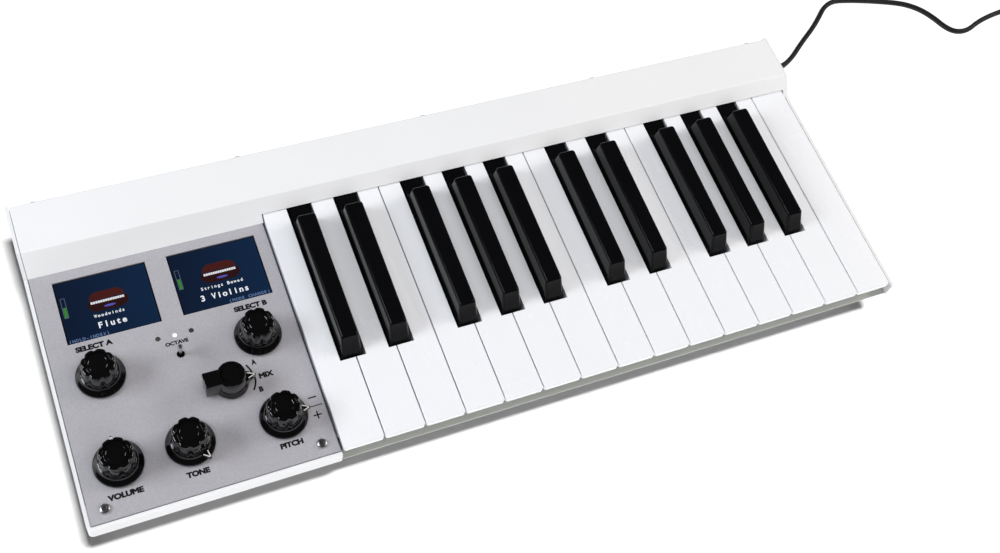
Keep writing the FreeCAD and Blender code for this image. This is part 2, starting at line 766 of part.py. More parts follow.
def make_contacts():
    """The contact board on the frame, and the rubber strip with one dome under each key."""
    left = f"{KEYS_LEFT} + 2"
    wide = f"{KEYS_WIDE} - 4"
    board_y = f"{KEYS_FRONT} + 64"
    keep(box(left, board_y, FRAME_TOP, wide, "36", "1.6"), "contact_board")
    strip_z = f"{FRAME_TOP} + 1.6"
    strip = box(f"{left} + 1", f"{board_y} + 6", strip_z, f"{wide} - 2", "22", "1.0")
    domes = []
    edges = slot_edges()
    for low, high in zip(edges[:-1], edges[1:]):
        x = f"{KEYS_LEFT} + ({low} + {high}) / 2"
        domes.append(cone(x, f"{board_y} + 17", f"{strip_z} + 0.5", "4.5", "2.6", "4.2"))
    keep(fuse([strip] + domes), "rubber_contacts")


def make_felts():
    """Felt strips that the white keys and the black keys land on."""
    left = f"{KEYS_LEFT} + 1"
    wide = f"{KEYS_WIDE} - 2"
    white_felt = box(left, f"{KEYS_FRONT} + 19", FRAME_TOP, wide, "8", "5.6")
    black_felt = box(left, f"{KEYS_FRONT} + 53", FRAME_TOP, wide, "7", "5.6")
    keep(group([white_felt, black_felt]), "key_felts")


def make_springs():
    """The comb of leaf springs that lifts the keys: one finger under each key."""
    body = new_body("spring_comb")
    root = f"({KEYS_FRONT} + 158)"
    tip = f"({KEYS_FRONT} + 132)"
    leaf = "0.5"
    outline = new_sketch(body, "YZ_Plane", f"{KEYS_LEFT} + 1")
    rise = "(key_top_height - key_depth - 4)"
    add_polygon(outline, [
        (f"{root} + 8", FRAME_TOP), (f"{root} + 8", f"{FRAME_TOP} + {leaf}"),
        (root, f"{FRAME_TOP} + {leaf}"), (tip, f"{rise} + {leaf}"), (tip, rise),
        (root, FRAME_TOP),
    ])
    pad(body, outline, f"{KEYS_WIDE} - 2")
    slots = new_sketch(body, "XY_Plane", f"{FRAME_TOP} - 1")
    for edge in slot_edges()[1:-1]:
        x = f"({KEYS_LEFT} + {edge})"
        add_rectangle(slots, f"{x} - 3", f"{tip} - 1", f"{x} + 3", root)
    pocket(body, slots, "30", backwards=True)


# ---- controls -----------------------------------------------------------------------

KNOBS = ["volume", "tone", "pitch", "mix", "select_a", "select_b"]
SHAFT_FOOT = f"({BOARD_TOP} + 4.0)"
KNOB_FOOT = f"({PANEL_TOP} + knob_lift)"


# The way each round knob's pointer faces, in degrees from the player's right.
POINTER_HEADINGS = {"volume": 92.0, "tone": -57.5, "pitch": 0.0}


def make_round_knob(name):
    """A skirted knob with a scalloped grip, and the shaft that it is pressed on."""
    body = doc.addObject("PartDesign::Body", f"cap_{name}")
    profile = new_sketch(body, "XZ_Plane")
    top = "(knob_height - knob_lift)"
    waist = "(knob_waist - knob_lift)"
    bore = "shaft_radius + 0.02"
    bite = "(shaft_bite + 0.05)"
    add_polygon(profile, [
        (bore, "0"), ("knob_radius", "0"), ("knob_radius", "0.8"),
        ("knob_top_radius + 0.6", waist), ("knob_top_radius", f"{waist} + 0.4"),
        ("knob_top_radius - 0.3", f"{top} - 0.8"), ("knob_top_radius - 1.1", top),
        ("0", top), ("0", bite), (bore, bite),
    ])
    revolve(body, profile)
    scallop = new_sketch(body, "XY_Plane", f"{top} + 1")
    add_circle(scallop, "knob_top_radius + 2.6", "0", "3.4")
    groove = pocket(body, scallop, f"{top} - {waist} + 0.4")
    pattern = body.newObject("PartDesign::PolarPattern", "Scallops")
    pattern.Originals = [groove]
    pattern.Axis = (scallop, ["N_Axis"])
    pattern.Angle = 360.0
    pattern.Occurrences = 8
    body.Tip = pattern
    doc.recompute()
    if name in POINTER_HEADINGS:
        nose = new_sketch(body, "XY_Plane", "pointer_base")
        add_polygon(nose, [
            ("pointer_root", "-pointer_half"), ("pointer_tip - 0.6", "-0.6"),
            ("pointer_tip", "0"), ("pointer_tip - 0.6", "0.6"), ("pointer_root", "pointer_half"),
        ])
        pad(body, nose, "pointer_thick")
        turn = FreeCAD.Rotation(Vector(0, 0, 1), POINTER_HEADINGS[name])
        body.Placement = FreeCAD.Placement(Vector(), turn)
    finish_knob(body, name)


def make_mix_knob():
    """The bar knob: a round grip on a low skirt, a bar to one side, a pointer to the other."""
    body = doc.addObject("PartDesign::Body", "cap_mix")
    profile = new_sketch(body, "XZ_Plane")
    top = "(mix_height - knob_lift)"
    bore = "shaft_radius + 0.02"
    bite = "(shaft_bite + 0.05)"
    add_polygon(profile, [
        (bore, "0"), ("mix_radius", "0"), ("mix_radius", "0.8"), ("mix_top_radius + 0.3", "4"),
        ("mix_top_radius", "4.4"), ("mix_top_radius - 0.3", f"{top} - 0.6"),
        ("mix_top_radius - 0.9", top), ("0", top), ("0", bite), (bore, bite),
    ])
    revolve(body, profile)
    bar = new_sketch(body, "XY_Plane")
    half = "mix_bar_width / 2"
    add_polygon(bar, [
        ("-mix_bar_reach", f"-{half}"), ("-mix_bar_reach", half),
        ("-(shaft_radius + 1)", half), ("-(shaft_radius + 1)", f"-{half}"),
    ])
    pad(body, bar, f"{top} - 0.3")
    nose = new_sketch(body, "XY_Plane")
    add_polygon(nose, [("shaft_radius + 1", "-4.5"), ("pointer_reach - 0.6", "-0.5"),
                       ("pointer_reach - 0.6", "0.5"), ("shaft_radius + 1", "4.5")])
    pad(body, nose, "3.6")
    finish_knob(body, "mix")


def finish_knob(cap, name):
    """Set a knob cap and its shaft over their place on the panel as one node."""
    x, y = panel_spot(name)
    place(cap, x, y, KNOB_FOOT)
    shaft = cylinder(x, y, SHAFT_FOOT, "shaft_radius", f"{KNOB_FOOT} + shaft_bite - {SHAFT_FOOT}")
    keep(group([cap, shaft]), f"knob_{name}")


def make_controls():
    """The housings of the four potentiometers and the two encoders, on the board."""
    housings = []
    for name in KNOBS:
        x, y = panel_spot(name)
        block = box(f"{x} - 5.5", f"{y} - 6", BOARD_TOP, "11", "12", "7.6")
        collar = cylinder(x, y, f"{BOARD_TOP} + 7", "4.4", "2.2")
        well = cylinder(x, y, f"{BOARD_TOP} + 1", "shaft_radius + shaft_fit", "20")
        housings.append(cut(fuse([block, collar]), well))
    keep(group(housings), "rotary_controls")
    for name in ("select_a", "select_b"):
        x, y = panel_spot(name)
        plunger = cylinder(x, y, f"{SHAFT_FOOT} - 1.6", "shaft_radius - 0.1", "1.55")
        keep(plunger, f"plunger_{name[-1]}")


def make_board():
    """The main board under the panel."""
    y = f"({PANEL_FRONT} + 14)"
    back = f"({CREASE} - 16)"
    board = box(f"{PANEL_LEFT} + 2", y, f"{BOARD_TOP} - board_sheet",
                "panel_width - 5", f"{back} - {y}", "board_sheet")
    keep(board, "main_board")


def make_screen(name, across):
    """A display module: the glass in the panel's opening, its frame, and its header."""
    x = f"({PANEL_LEFT} + {across})"
    y = f"({PANEL_FRONT} + screen_back)"
    glass = box(f"{x} + 0.2", f"{y} + 0.2", f"{PANEL_UNDER} - 1", "screen_width - 0.4",
                "screen_height - 0.4", "panel_sheet + 0.2")
    frame = box(f"{x} - 2", f"{y} - 1.5", f"{PANEL_UNDER} - 4.8", "screen_width + 4",
                "screen_height + 1.6", "4.2")
    header = box(f"{x} + 8", f"{y} + 1", BOARD_TOP, "screen_width - 16", "3",
                 "board_gap - 4.6")
    keep(fuse([glass, frame, header]), name)


def make_leds():
    leds = []
    for step in (-1, 0, 1):
        x, y = panel_spot("led")
        x = f"{x} + {step} * led_pitch"
        stem = cylinder(x, y, BOARD_TOP, "led_radius", "board_gap + panel_sheet - 1.4")
        rim = cylinder(x, y, BOARD_TOP, "led_radius + 0.6", "board_gap - 0.4")
        dome = doc.addObject("Part::Sphere", "Dome")
        bind(dome, Radius="led_radius")
        place(dome, x, y, f"{PANEL_TOP} - 1.4")
        leds.append(fuse([stem, rim, dome]))
    keep(group(leds), "octave_leds")


def make_toggle():
    """The octave switch: a housing with a round bushing, and its lever on a cross pin."""
    x, y = panel_spot("toggle")
    pivot = f"({PANEL_UNDER} - 1.2)"
    block = box(f"{x} - 4", f"{y} - 4", BOARD_TOP, "8", "8", "board_gap - 0.6")
    bushing = cylinder(x, y, f"{PANEL_UNDER} - 1", "bushing_radius", "panel_sheet + 1.6")
    well = cylinder(x, y, f"{BOARD_TOP} + 1.5", "1.75", "20")
    keep(cut(fuse([block, bushing]), well), "toggle_switch")
    ball = doc.addObject("Part::Sphere", "Ball")
    bind(ball, Radius="1.3")
    place(ball, x, y, pivot)
    reach = f"({PANEL_TOP} + lever_height - lever_tip_radius)"
    stem = cone(x, y, pivot, "lever_root_radius", "lever_tip_radius", f"{reach} - {pivot}")
    tip = doc.addObject("Part::Sphere", "Tip")
    bind(tip, Radius="lever_tip_radius")
    place(tip, x, y, reach)
    keep(fuse([ball, stem, tip]), "toggle_lever")


def make_panel_screws():
    """Two button-head screws with a hexagon socket."""
    screws = []
    for across in ("screw_a_across", "screw_b_across"):
        x = f"{PANEL_LEFT} + {across}"
        y = f"{PANEL_FRONT} + screw_back"
        head = cylinder(x, y, PANEL_TOP, "3", "0.5")
        crown = cone(x, y, f"{PANEL_TOP} + 0.5", "3", "1.9", "1.1")
        shank = cylinder(x, y, f"{PANEL_UNDER} - tray_wall - 1", "1.4", "panel_sheet + tray_wall + 1.2")
        socket = doc.addObject("Part::Prism", "Socket")
        socket.Polygon = 6
        bind(socket, Circumradius="1.15", Height="2")
        place(socket, x, y, f"{PANEL_TOP} + 0.5")
        screws.append(cut(fuse([head, crown, shank]), socket))
    keep(group(screws), "panel_screws")


def make_case_screws():
    """Five screws through the cover's rear flange into the tray."""
    screws = []
    for x in cover_screw_places():
        head = cylinder(x, COVER_BACK, COVER_SCREW_Z, "2.8", "1.3", "Y")
        length = "cover_sheet + cover_fit + tray_wall + 1.5"
        shank = cylinder(x, f"{COVER_BACK} - ({length}) + 0.1", COVER_SCREW_Z, "1.4", length, "Y")
        slot = box(f"{x} - 2", f"{COVER_BACK} + 0.7", f"{COVER_SCREW_Z} - 0.35", "4", "1", "0.7")
        screws.append(cut(fuse([head, shank]), slot))
    keep(group(screws), "case_screws")


# ---- connectors and the supply lead -------------------------------------------------

def make_jacks():
    """Three jack sockets for quarter-inch plugs, each with its nut outside the wall."""
    jacks = []
    for step in range(3):
        x = f"({PANEL_LEFT} + jack_across + {step} * jack_pitch)"
        z = "jack_height"
        block = box(f"{x} - jack_body / 2", f"{WALL_INNER} - jack_length + 2",
                    f"{z} - jack_body / 2", "jack_body", "jack_length - 2.1", "jack_body")
        neck = cylinder(x, f"{WALL_INNER} - 1", z, "jack_radius + 1.4", "tray_wall + 2.2", "Y")
        nut = cylinder(x, f"{WALL_OUTER} + 0.05", z, "jack_radius + 3.4", "1.8", "Y")
        bore = cylinder(x, f"{WALL_INNER} - jack_length + 4", z, "jack_radius", "40", "Y")
        jacks.append(cut(fuse([block, neck, nut]), bore))
    keep(group(jacks), "audio_jacks")


def make_usb():
    """A square data socket on the rear wall, with the tongue inside its shell."""
    x = f"({PANEL_LEFT} + usb_across)"
    z = "jack_height"
    y = f"({WALL_INNER} - 14)"
    shell = box(f"{x} - 6", y, f"{z} - 5.5", "12", "tray_wall + 14.5", "11")
    cavity = box(f"{x} - 4.3", f"{y} + 2", f"{z} - 4", "8.6", "30", "8")
    tongue = box(f"{x} - 2.8", f"{y} + 1", f"{z} - 1.6", "5.6", "12", "3.2")
    keep(fuse([cut(shell, cavity), tongue]), "usb_socket")


def make_inlet():
    """The supply inlet: a block with a round well and its centre pin."""
    x = f"({HALF_WIDTH} - inlet_inset)"
    z = "inlet_height"
    y = f"({WALL_INNER} - 11)"
    block = box(f"{x} - 4.5", y, f"{z} - 5.5", "9", "tray_wall + 11.3", "11")
    well = cylinder(x, f"{y} + 1.5", z, "plug_radius + plug_fit", "30", "Y")
    pin = cylinder(x, f"{y} + 1", z, "1.0", "9", "Y")
    keep(fuse([cut(block, well), pin]), "dc_inlet")


def make_plug():
    """The right-angle plug in the inlet, whose relief points out past the right cheek."""
    x = f"({HALF_WIDTH} - inlet_inset)"
    z = "inlet_height"
    face = f"({WALL_OUTER} + 0.4)"
    reach = "6.2"
    barrel = cylinder(x, f"{WALL_INNER} - 8.5", z, "plug_radius", "tray_wall + 10", "Y")
    hollow = cylinder(x, f"{WALL_INNER} - 9", z, "1.1", "tray_wall + 8.8", "Y")
    back = cylinder(x, face, z, "4.8", f"{reach} + 4.8", "Y")
    arm = cylinder(x, f"{face} + {reach}", z, "4.2", "9", "X")
    relief = doc.addObject("Part::Cone", "Relief")
    relief.Placement = FreeCAD.Placement(Vector(), FreeCAD.Rotation(Vector(0, 1, 0), 90))
    bind(relief, Radius1="3.6", Radius2="cord_radius + 0.5", Height="17")
    place(relief, f"{x} + 8.5", f"{face} + {reach}", z)
    keep(cut(fuse([barrel, back, arm, relief]), hollow), "dc_plug")


# The supply lead's route, chosen by hand, from the plug's relief to the coil.
CORD_ROUTE = [
    (249.75, 98.4, 13.5), (262.0, 98.4, 13.5), (279.0, 98.8, 7.0), (295.0, 106.0, 2.4),
    (311.0, 118.2, 1.8), (331.0, 131.6, 1.8), (350.0, 149.0, 1.8), (371.0, 145.2, 1.8),
    (397.0, 137.4, 1.8), (414.0, 130.6, 1.8), (426.0, 118.8, 1.8), (434.3, 99.6, 1.8),
    (447.5, 96.1, 1.8), (465.0, 103.2, 1.8), (487.0, 106.8, 1.8), (508.3, 107.0, 1.8),
    (530.8, 98.8, 1.8),
]


def rounded_route(points):
    """Straight runs joined by tangent arcs, each as large as its two runs allow."""
    corners = [Vector(*p) for p in points]
    edges = []
    radii = []
    start = corners[0]
    for before, corner, after in zip(corners[:-2], corners[1:-1], corners[2:]):
        into = (corner - before)
        out = (after - corner)
        shorter = min(into.Length, out.Length)
        turn = into.getAngle(out)
        reach = 0.45 * shorter
        radii.append(reach / math.tan(turn / 2))
        into.normalize()
        out.normalize()
        first = corner - into * reach
        last = corner + out * reach
        to_centre = (out - into).normalize() * (radii[-1] / math.cos(turn / 2))
        centre = corner + to_centre
        midway = centre + (corner - centre).normalize() * radii[-1]
        edges.append(Part.LineSegment(start, first).toShape())
        edges.append(Part.Arc(first, midway, last).toShape())
        start = last
    edges.append(Part.LineSegment(start, corners[-1]).toShape())
    return Part.Wire(edges), radii


def make_cord():
    radius = size("cord_radius")
    path, radii = rounded_route(CORD_ROUTE)
    print("cord length", round(path.Length, 1), "radii", [round(r, 1) for r in radii])
    heading = Vector(*CORD_ROUTE[1]) - Vector(*CORD_ROUTE[0])
    ring = Part.Wire([Part.Circle(Vector(*CORD_ROUTE[0]), heading, radius).toShape()])
    tube = path.makePipeShell([ring], True, False)
    print("cord volume ratio", round(tube.Volume / (math.pi * radius ** 2 * path.Length), 4))
    cord = doc.addObject("Part::Feature", "Cord")
    cord.Shape = tube
    keep(cord, "supply_cord")


# The coil of the lead's spare length: its centre, and the size of the ring of turns.
COIL_CENTRE = (524.0, 80.0)
COIL_RADIUS = 20.0
COIL_HALF_WIDTH = 3.6
COIL_HEIGHT = 17.6


def make_coil():
    """The tied coil, as one ring with rounded edges, and the plug beside it."""
    inner = COIL_RADIUS - COIL_HALF_WIDTH
    outer = COIL_RADIUS + COIL_HALF_WIDTH
    ring = Part.makeCylinder(outer, COIL_HEIGHT).cut(Part.makeCylinder(inner, COIL_HEIGHT))
    ring = ring.makeFillet(1.6, [e for e in ring.Edges if e.Curve.TypeId == "Part::GeomCircle"])
    coil = doc.addObject("Part::Feature", "Coil")
    coil.Shape = ring
    coil.Placement = FreeCAD.Placement(Vector(*COIL_CENTRE, 0), FreeCAD.Rotation())
    keep(coil, "cord_coil")
    x = f"{COIL_CENTRE[0] + COIL_RADIUS + 2}"
    y = f"{COIL_CENTRE[1] - 22}"
    relief = cylinder(x, y, "4", "cord_radius + 0.9", "10", "Y")
    grip = box(f"{x} - 8", f"{y} - 26", "0", "16", "26.2", "8")
    shell = box(f"{x} - 6", f"{y} - 38", "1.75", "12", "12.5", "4.5")
    keep(fuse([grip, shell, relief]), "usb_plug")


def check_and_write():
    """Stop on any failed object or bad shape, then write one file for each sub-part."""
    doc.recompute()
    for thing in doc.Objects:
        if "Invalid" in thing.State or "Error" in thing.State:
            raise RuntimeError(f"{thing.Name} ({thing.Label}) failed: {thing.State}")
    for thing in parts:
        shape = thing.Shape
        if shape.isNull() or not shape.isValid() or shape.Volume <= 0:
            raise RuntimeError(f"{thing.Label} has a bad shape")
    for old in os.listdir("parts"):
        if old.endswith(".step"):
            os.remove(os.path.join("parts", old))
    for thing in parts:
        thing.Shape.exportStep(os.path.join("parts", thing.Label + ".step"))
    print(len(parts), "sub-parts written")


make_tray()
make_cover()
make_panel()
make_front_rail()
make_feet()
for order in range(WHITE_KEYS):
    make_white_key(order)
for order in range(10):
    make_black_key(order)
make_key_chassis()
make_rod()
make_contacts()
make_felts()
make_springs()
for name in KNOBS:
    if name != "mix":
        make_round_knob(name)
make_mix_knob()
make_controls()
make_board()
make_screen("display_a", "screen_a_across")
make_screen("display_b", "screen_b_across")
make_leds()
make_toggle()
make_panel_screws()
make_case_screws()
make_jacks()
make_usb()
make_inlet()
make_plug()
make_cord()
make_coil()
check_and_write()
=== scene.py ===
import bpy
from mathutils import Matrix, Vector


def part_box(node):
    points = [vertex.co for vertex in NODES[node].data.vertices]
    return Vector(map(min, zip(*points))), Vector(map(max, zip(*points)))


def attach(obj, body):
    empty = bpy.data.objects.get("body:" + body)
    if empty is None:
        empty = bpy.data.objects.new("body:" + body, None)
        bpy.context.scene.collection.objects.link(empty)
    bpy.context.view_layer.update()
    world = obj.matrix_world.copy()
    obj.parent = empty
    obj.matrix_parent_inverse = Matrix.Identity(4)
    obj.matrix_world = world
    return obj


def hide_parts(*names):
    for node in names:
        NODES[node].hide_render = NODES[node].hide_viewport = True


bl_info = {
    "name": "Midi Keyboard",
    "version": (1, 0, 0),
    "blender": (4, 5, 0),
    "location": "3D View > Sidebar > Midi Keyboard",
    "description": "Builds the finished look of a compact midi keyboard around its packed frame",
    "category": "Object",
}

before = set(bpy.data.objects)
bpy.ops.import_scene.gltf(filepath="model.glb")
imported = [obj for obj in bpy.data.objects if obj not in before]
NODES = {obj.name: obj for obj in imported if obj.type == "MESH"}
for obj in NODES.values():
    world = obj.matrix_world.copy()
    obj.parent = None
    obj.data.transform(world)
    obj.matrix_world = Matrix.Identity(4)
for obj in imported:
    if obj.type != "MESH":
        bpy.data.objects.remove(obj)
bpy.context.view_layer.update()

import math

import bmesh
import bpy
from mathutils import Euler, Matrix, Vector

MM = 0.001
PANEL_LOW, PANEL_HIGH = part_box("control_panel")
PANEL_TOP = PANEL_HIGH.z
SCREEN_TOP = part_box("display_a")[1].z

# Places on the panel in millimetres from its left front corner.
KNOB_PLACES = {
    "volume": (20.4, 27.6),
    "tone": (57.5, 27.5),
    "pitch": (107.5, 27.2),
    "mix": (86.6, 53.7),
    "select_a": (23.3, 77.9),
    "select_b": (108.2, 77.6),
}
# The way each pointer faces at rest, in degrees from the player's right.
POINTER_HEADINGS = {
    "volume": 92.0,
    "tone": -57.5,
    "pitch": 0.0,
    "mix": 0.0,
}
TOGGLE_PLACE = (65.9, 78.6)
LAMP_PLACE = (65.7, 90.7)
LAMP_PITCH = 9.1
SCREW_PLACES = ((8.4, 6.7), (122.3, 6.7))
SCREEN_CORNERS = {"a": (11.1, 100.5), "b": (73.2, 100.5)}
SCREEN_WIDTH = 50.4
SCREEN_DEPTH = 38.5
GLASS = 0.08


def tint(red, green, blue):
    """A display colour of 0 to 255 as the linear numbers that shaders take."""
    linear = []
    for level in (red, green, blue):
        share = level / 255
        linear.append(share / 12.92 if share <= 0.04045 else ((share + 0.055) / 1.055) ** 2.4)
    return tuple(linear)


def colour_setting(name, description, levels):
    return bpy.props.FloatVectorProperty(
        name=name, description=description, subtype="COLOR", size=3, min=0.0, max=1.0,
        default=tint(*levels),
    )


def length_setting(name, description, millimetres):
    return bpy.props.FloatProperty(
        name=name, description=description, unit="LENGTH", min=0.0, precision=5,
        default=millimetres * MM,
    )


# ---- settings ----------------------------------------------------------------------

class StageSettings(bpy.types.PropertyGroup):
    camera_place: bpy.props.FloatVectorProperty(
        name="Camera place", description="Where the camera stands", subtype="TRANSLATION",
        size=3, unit="LENGTH", default=(-0.22272, -0.30404, 0.68995),
    )
    camera_target: bpy.props.FloatVectorProperty(
        name="Camera target", description="What the camera looks at", subtype="TRANSLATION",
        size=3, unit="LENGTH", default=(0.01445, -0.01168, 0.03),
    )
    camera_roll: bpy.props.FloatProperty(
        name="Camera roll", description="How far the camera leans to its left",
        subtype="ANGLE", default=math.radians(20.04),
    )
    lens: bpy.props.FloatProperty(
        name="Lens", description="Focal length in millimetres on a 36 mm sensor",
        min=10.0, default=45.64,
    )
    sky: bpy.props.FloatProperty(
        name="Sky", description="Strength of the even white surroundings", min=0.0, default=0.12,
    )
    gloss_sky: bpy.props.FloatProperty(
        name="Gloss sky", description="Strength of the surroundings in reflections", min=0.0,
        default=0.04,
    )
    floor_colour: colour_setting("Floor", "Colour of the studio floor", (190, 190, 190))


class CaseSettings(bpy.types.PropertyGroup):
    sheet_colour: colour_setting("Case", "Powder coat of the tray and cover", (238, 238, 240))
    # The rail's warm grey is darker than the case white: partly the rail's own paint, partly
    # painted shade from the keys' overhang.
    rail_colour_with_shade: colour_setting("Rail", "Paint of the rail under the keys", (182, 184, 177))
    orange_peel: length_setting("Orange peel", "Size of the ripples in the powder coat", 0.9)


class PanelSettings(bpy.types.PropertyGroup):
    paint_colour: colour_setting("Panel", "Paint of the control panel", (176, 174, 180))
    fleck: length_setting("Fleck", "Size of the flecks in the panel paint", 0.5)
    ink_colour: colour_setting("Ink", "Ink of the panel's legends", (12, 12, 14))
    ink_depth: length_setting("Ink depth", "Thickness of the printed ink", 0.03)


class KeySettings(bpy.types.PropertyGroup):
    white_colour: colour_setting("White keys", "Plastic of the white keys", (240, 241, 245))
    black_colour: colour_setting("Black keys", "Plastic of the black keys", (9, 9, 11))


class KnobSettings(bpy.types.PropertyGroup):
    shell_colour: colour_setting("Knobs", "Plastic of the knobs", (8, 8, 9))
    mark_colour: colour_setting("Marks", "Inlay in the pointers", (232, 231, 220))
    lobes: bpy.props.IntProperty(
        name="Lobes", description="Finger lobes round a grip", min=3, default=8,
    )
    lobe_depth: length_setting("Lobe depth", "Depth of the flutes between the lobes", 0.95)
    pointer_reach: length_setting("Pointer", "How far a pointer's tip is from the axis", 14.6)


class ScreenSettings(bpy.types.PropertyGroup):
    low_colour: colour_setting("Screen left", "Lit background at the left", (13, 22, 42))
    high_colour: colour_setting("Screen right", "Lit background at the right", (17, 38, 66))
    glow_colour: colour_setting("Lettering", "Bright lettering", (236, 240, 246))
    hint_colour: colour_setting("Hints", "Dim lettering along the lower edge", (92, 116, 160))
    meter_colour: colour_setting("Meter", "Filled part of the level meter", (64, 140, 52))
    edge: length_setting("Edge", "Dark edge round the lit area", 0.7)


class CordSettings(bpy.types.PropertyGroup):
    diameter: length_setting("Diameter", "Thickness of the supply cord", 3.5)
    jacket_colour: colour_setting("Jacket", "Rubbery jacket of the cord", (16, 16, 17))
    length: length_setting("Length", "Whole length of the supply cord", 1500.0)


SETTINGS = {
    "keyboard_stage": StageSettings,
    "keyboard_case": CaseSettings,
    "keyboard_panel": PanelSettings,
    "keyboard_keys": KeySettings,
    "keyboard_knobs": KnobSettings,
    "keyboard_screens": ScreenSettings,
    "keyboard_cord": CordSettings,
}


# ---- finishes ----------------------------------------------------------------------

class Wire:
    """A socket of a finish. Sums on it add Math nodes."""

    def __init__(self, finish, socket):
        self.finish = finish
        self.socket = socket

    def sum(self, operation, first, second):
        return self.finish.node("ShaderNodeMath", {"operation": operation}, {0: first, 1: second})

    def __add__(self, other):
        return self.sum("ADD", self, other)

    def __radd__(self, other):
        return self.sum("ADD", other, self)

    def __mul__(self, other):
        return self.sum("MULTIPLY", self, other)

    def __rmul__(self, other):
        return self.sum("MULTIPLY", other, self)


class Finish:
    """A material under construction: one Principled surface and the nodes that feed it."""

    def __init__(self, name, **constants):
        self.material = bpy.data.materials.new(name)
        self.material.use_nodes = True
        self.tree = self.material.node_tree
        self.tree.nodes.clear()
        self.surface = self.tree.nodes.new("ShaderNodeBsdfPrincipled")
        output = self.tree.nodes.new("ShaderNodeOutputMaterial")
        self.tree.links.new(self.surface.outputs[0], output.inputs[0])
        self.spots = self.node("ShaderNodeTexCoord", output="Object")
        for name, value in constants.items():
            self.set(name, value)

    def set(self, name, value):
        """Put a value or a wire on one of the surface's sockets; _ stands for a space."""
        self.feed(self.surface.inputs[name.replace("_", " ")], value)

    def feed(self, socket, value):
        if isinstance(value, Wire):
            self.tree.links.new(value.socket, socket)
        elif socket.type == "RGBA" and len(value) == 3:
            socket.default_value = (*value, 1.0)
        else:
            socket.default_value = value

    def node(self, kind, settings=None, inputs=None, output=0):
        made = self.tree.nodes.new(kind)
        for name, value in (settings or {}).items():
            if name == "stops":
                for element, (position, level) in zip(made.color_ramp.elements, value):
                    element.position = position
                    element.color = (level, level, level, 1.0)
            else:
                setattr(made, name, value)
        for name, value in (inputs or {}).items():
            self.feed(made.inputs[name], value)
        return Wire(self, made.outputs[output])

    def grain(self, size, detail=2.0, stretch=(1.0, 1.0, 1.0), spots=None):
        """Soft noise whose blotches are about this size in metres."""
        spots = self.node("ShaderNodeMapping", {}, {0: spots or self.spots, 3: stretch})
        return self.node("ShaderNodeTexNoise", {}, {"Vector": spots, "Scale": 1 / size,
                                                    "Detail": detail})

    def ramp(self, wire, low, high):
        """0 below low, 1 above high."""
        return self.node("ShaderNodeValToRGB", {"stops": ((low, 0.0), (high, 1.0))}, {0: wire})

    def mix(self, share, low, high):
        return self.node("ShaderNodeMix", {"data_type": "RGBA"}, {0: share, 6: low, 7: high},
                         output=2)

    def relief(self, height, depth, strength=1.0):
        bumps = self.node("ShaderNodeBump", {}, {"Height": height, "Distance": depth,
                                                 "Strength": strength})
        self.set("Normal", bumps)


def shade(colour, factor):
    """The colour made lighter or darker."""
    return tuple(min(1.0, level * factor) for level in colour)


def powder_coat(name, colour, peel):
    """Baked powder coat: a slight orange peel and cloudy gloss."""
    coat = Finish(name, Specular_IOR_Level=0.45, Coat_Weight=0.12, Coat_Roughness=0.3)
    cloud = coat.grain(0.045, 3.0)
    coat.set("Base_Color", coat.mix(cloud, shade(colour, 0.975), shade(colour, 1.02)))
    coat.set("Roughness", 0.36 + 0.14 * coat.grain(0.012, 3.0))
    coat.relief(coat.grain(peel, 1.0), 0.00004, 0.35)
    return coat.material


def flecked_paint(name, colour, fleck):
    """Satin paint with fine metallic flecks."""
    paint = Finish(name, Metallic=0.1, Specular_IOR_Level=0.5)
    fine = paint.ramp(paint.grain(fleck, 2.0), 0.36, 0.66)
    broad = paint.grain(0.02, 3.0)
    light = paint.mix(fine, shade(colour, 0.90), shade(colour, 1.12))
    paint.set("Base_Color", paint.mix(broad * 0.35, light, shade(colour, 1.04)))
    paint.set("Roughness", 0.42 + 0.16 * fine)
    paint.relief(paint.grain(fleck * 0.8, 1.0), 0.00002, 0.4)
    return paint.material


def satin_plastic(name, colour, low, high, grain=0.0004, depth=0.00001, coat=0.0, spread=0.06,
                  gloss=0.5):
    """Moulded plastic whose roughness lies between low and high."""
    plastic = Finish(name, Specular_IOR_Level=gloss, Coat_Weight=coat, Coat_Roughness=0.06)
    cloud = plastic.grain(0.018, 3.0)
    plastic.set("Base_Color", plastic.mix(cloud, shade(colour, 1 - spread),
                                          shade(colour, 1 + spread)))
    smears = plastic.grain(0.03, 4.0, (1.0, 0.35, 1.0))
    plastic.set("Roughness", low + (high - low) * smears)
    plastic.relief(plastic.grain(grain, 1.0), depth, 0.3)
    return plastic.material


def turned_metal(name, colour, roughness, grain=0.0006, metallic=1.0):
    """Plated or rolled metal with fine rubbed marks."""
    metal = Finish(name, Metallic=metallic)
    rub = metal.grain(grain, 3.0, (1.0, 0.2, 1.0))
    metal.set("Base_Color", metal.mix(metal.grain(0.01, 2.0), shade(colour, 0.9),
                                      shade(colour, 1.08)))
    metal.set("Roughness", roughness + 0.12 * rub)
    metal.relief(rub, 0.00001, 0.25)
    return metal.material


def rolled_zinc(name):
    """Zinc-plated sheet with broad spangle and rolling marks."""
    zinc = Finish(name, Metallic=0.9)
    spangle = zinc.node("ShaderNodeTexVoronoi", {}, {"Vector": zinc.spots, "Scale": 160.0},
                        output="Color")
    flake = zinc.node("ShaderNodeSeparateColor", {}, {0: spangle})
    zinc.set("Base_Color", zinc.mix(flake, tint(150, 153, 158), tint(192, 194, 198)))
    zinc.set("Roughness", 0.32 + 0.16 * flake)
    zinc.relief(zinc.grain(0.0007, 2.0, (0.2, 1.0, 1.0)), 0.00001, 0.3)
    return zinc.material


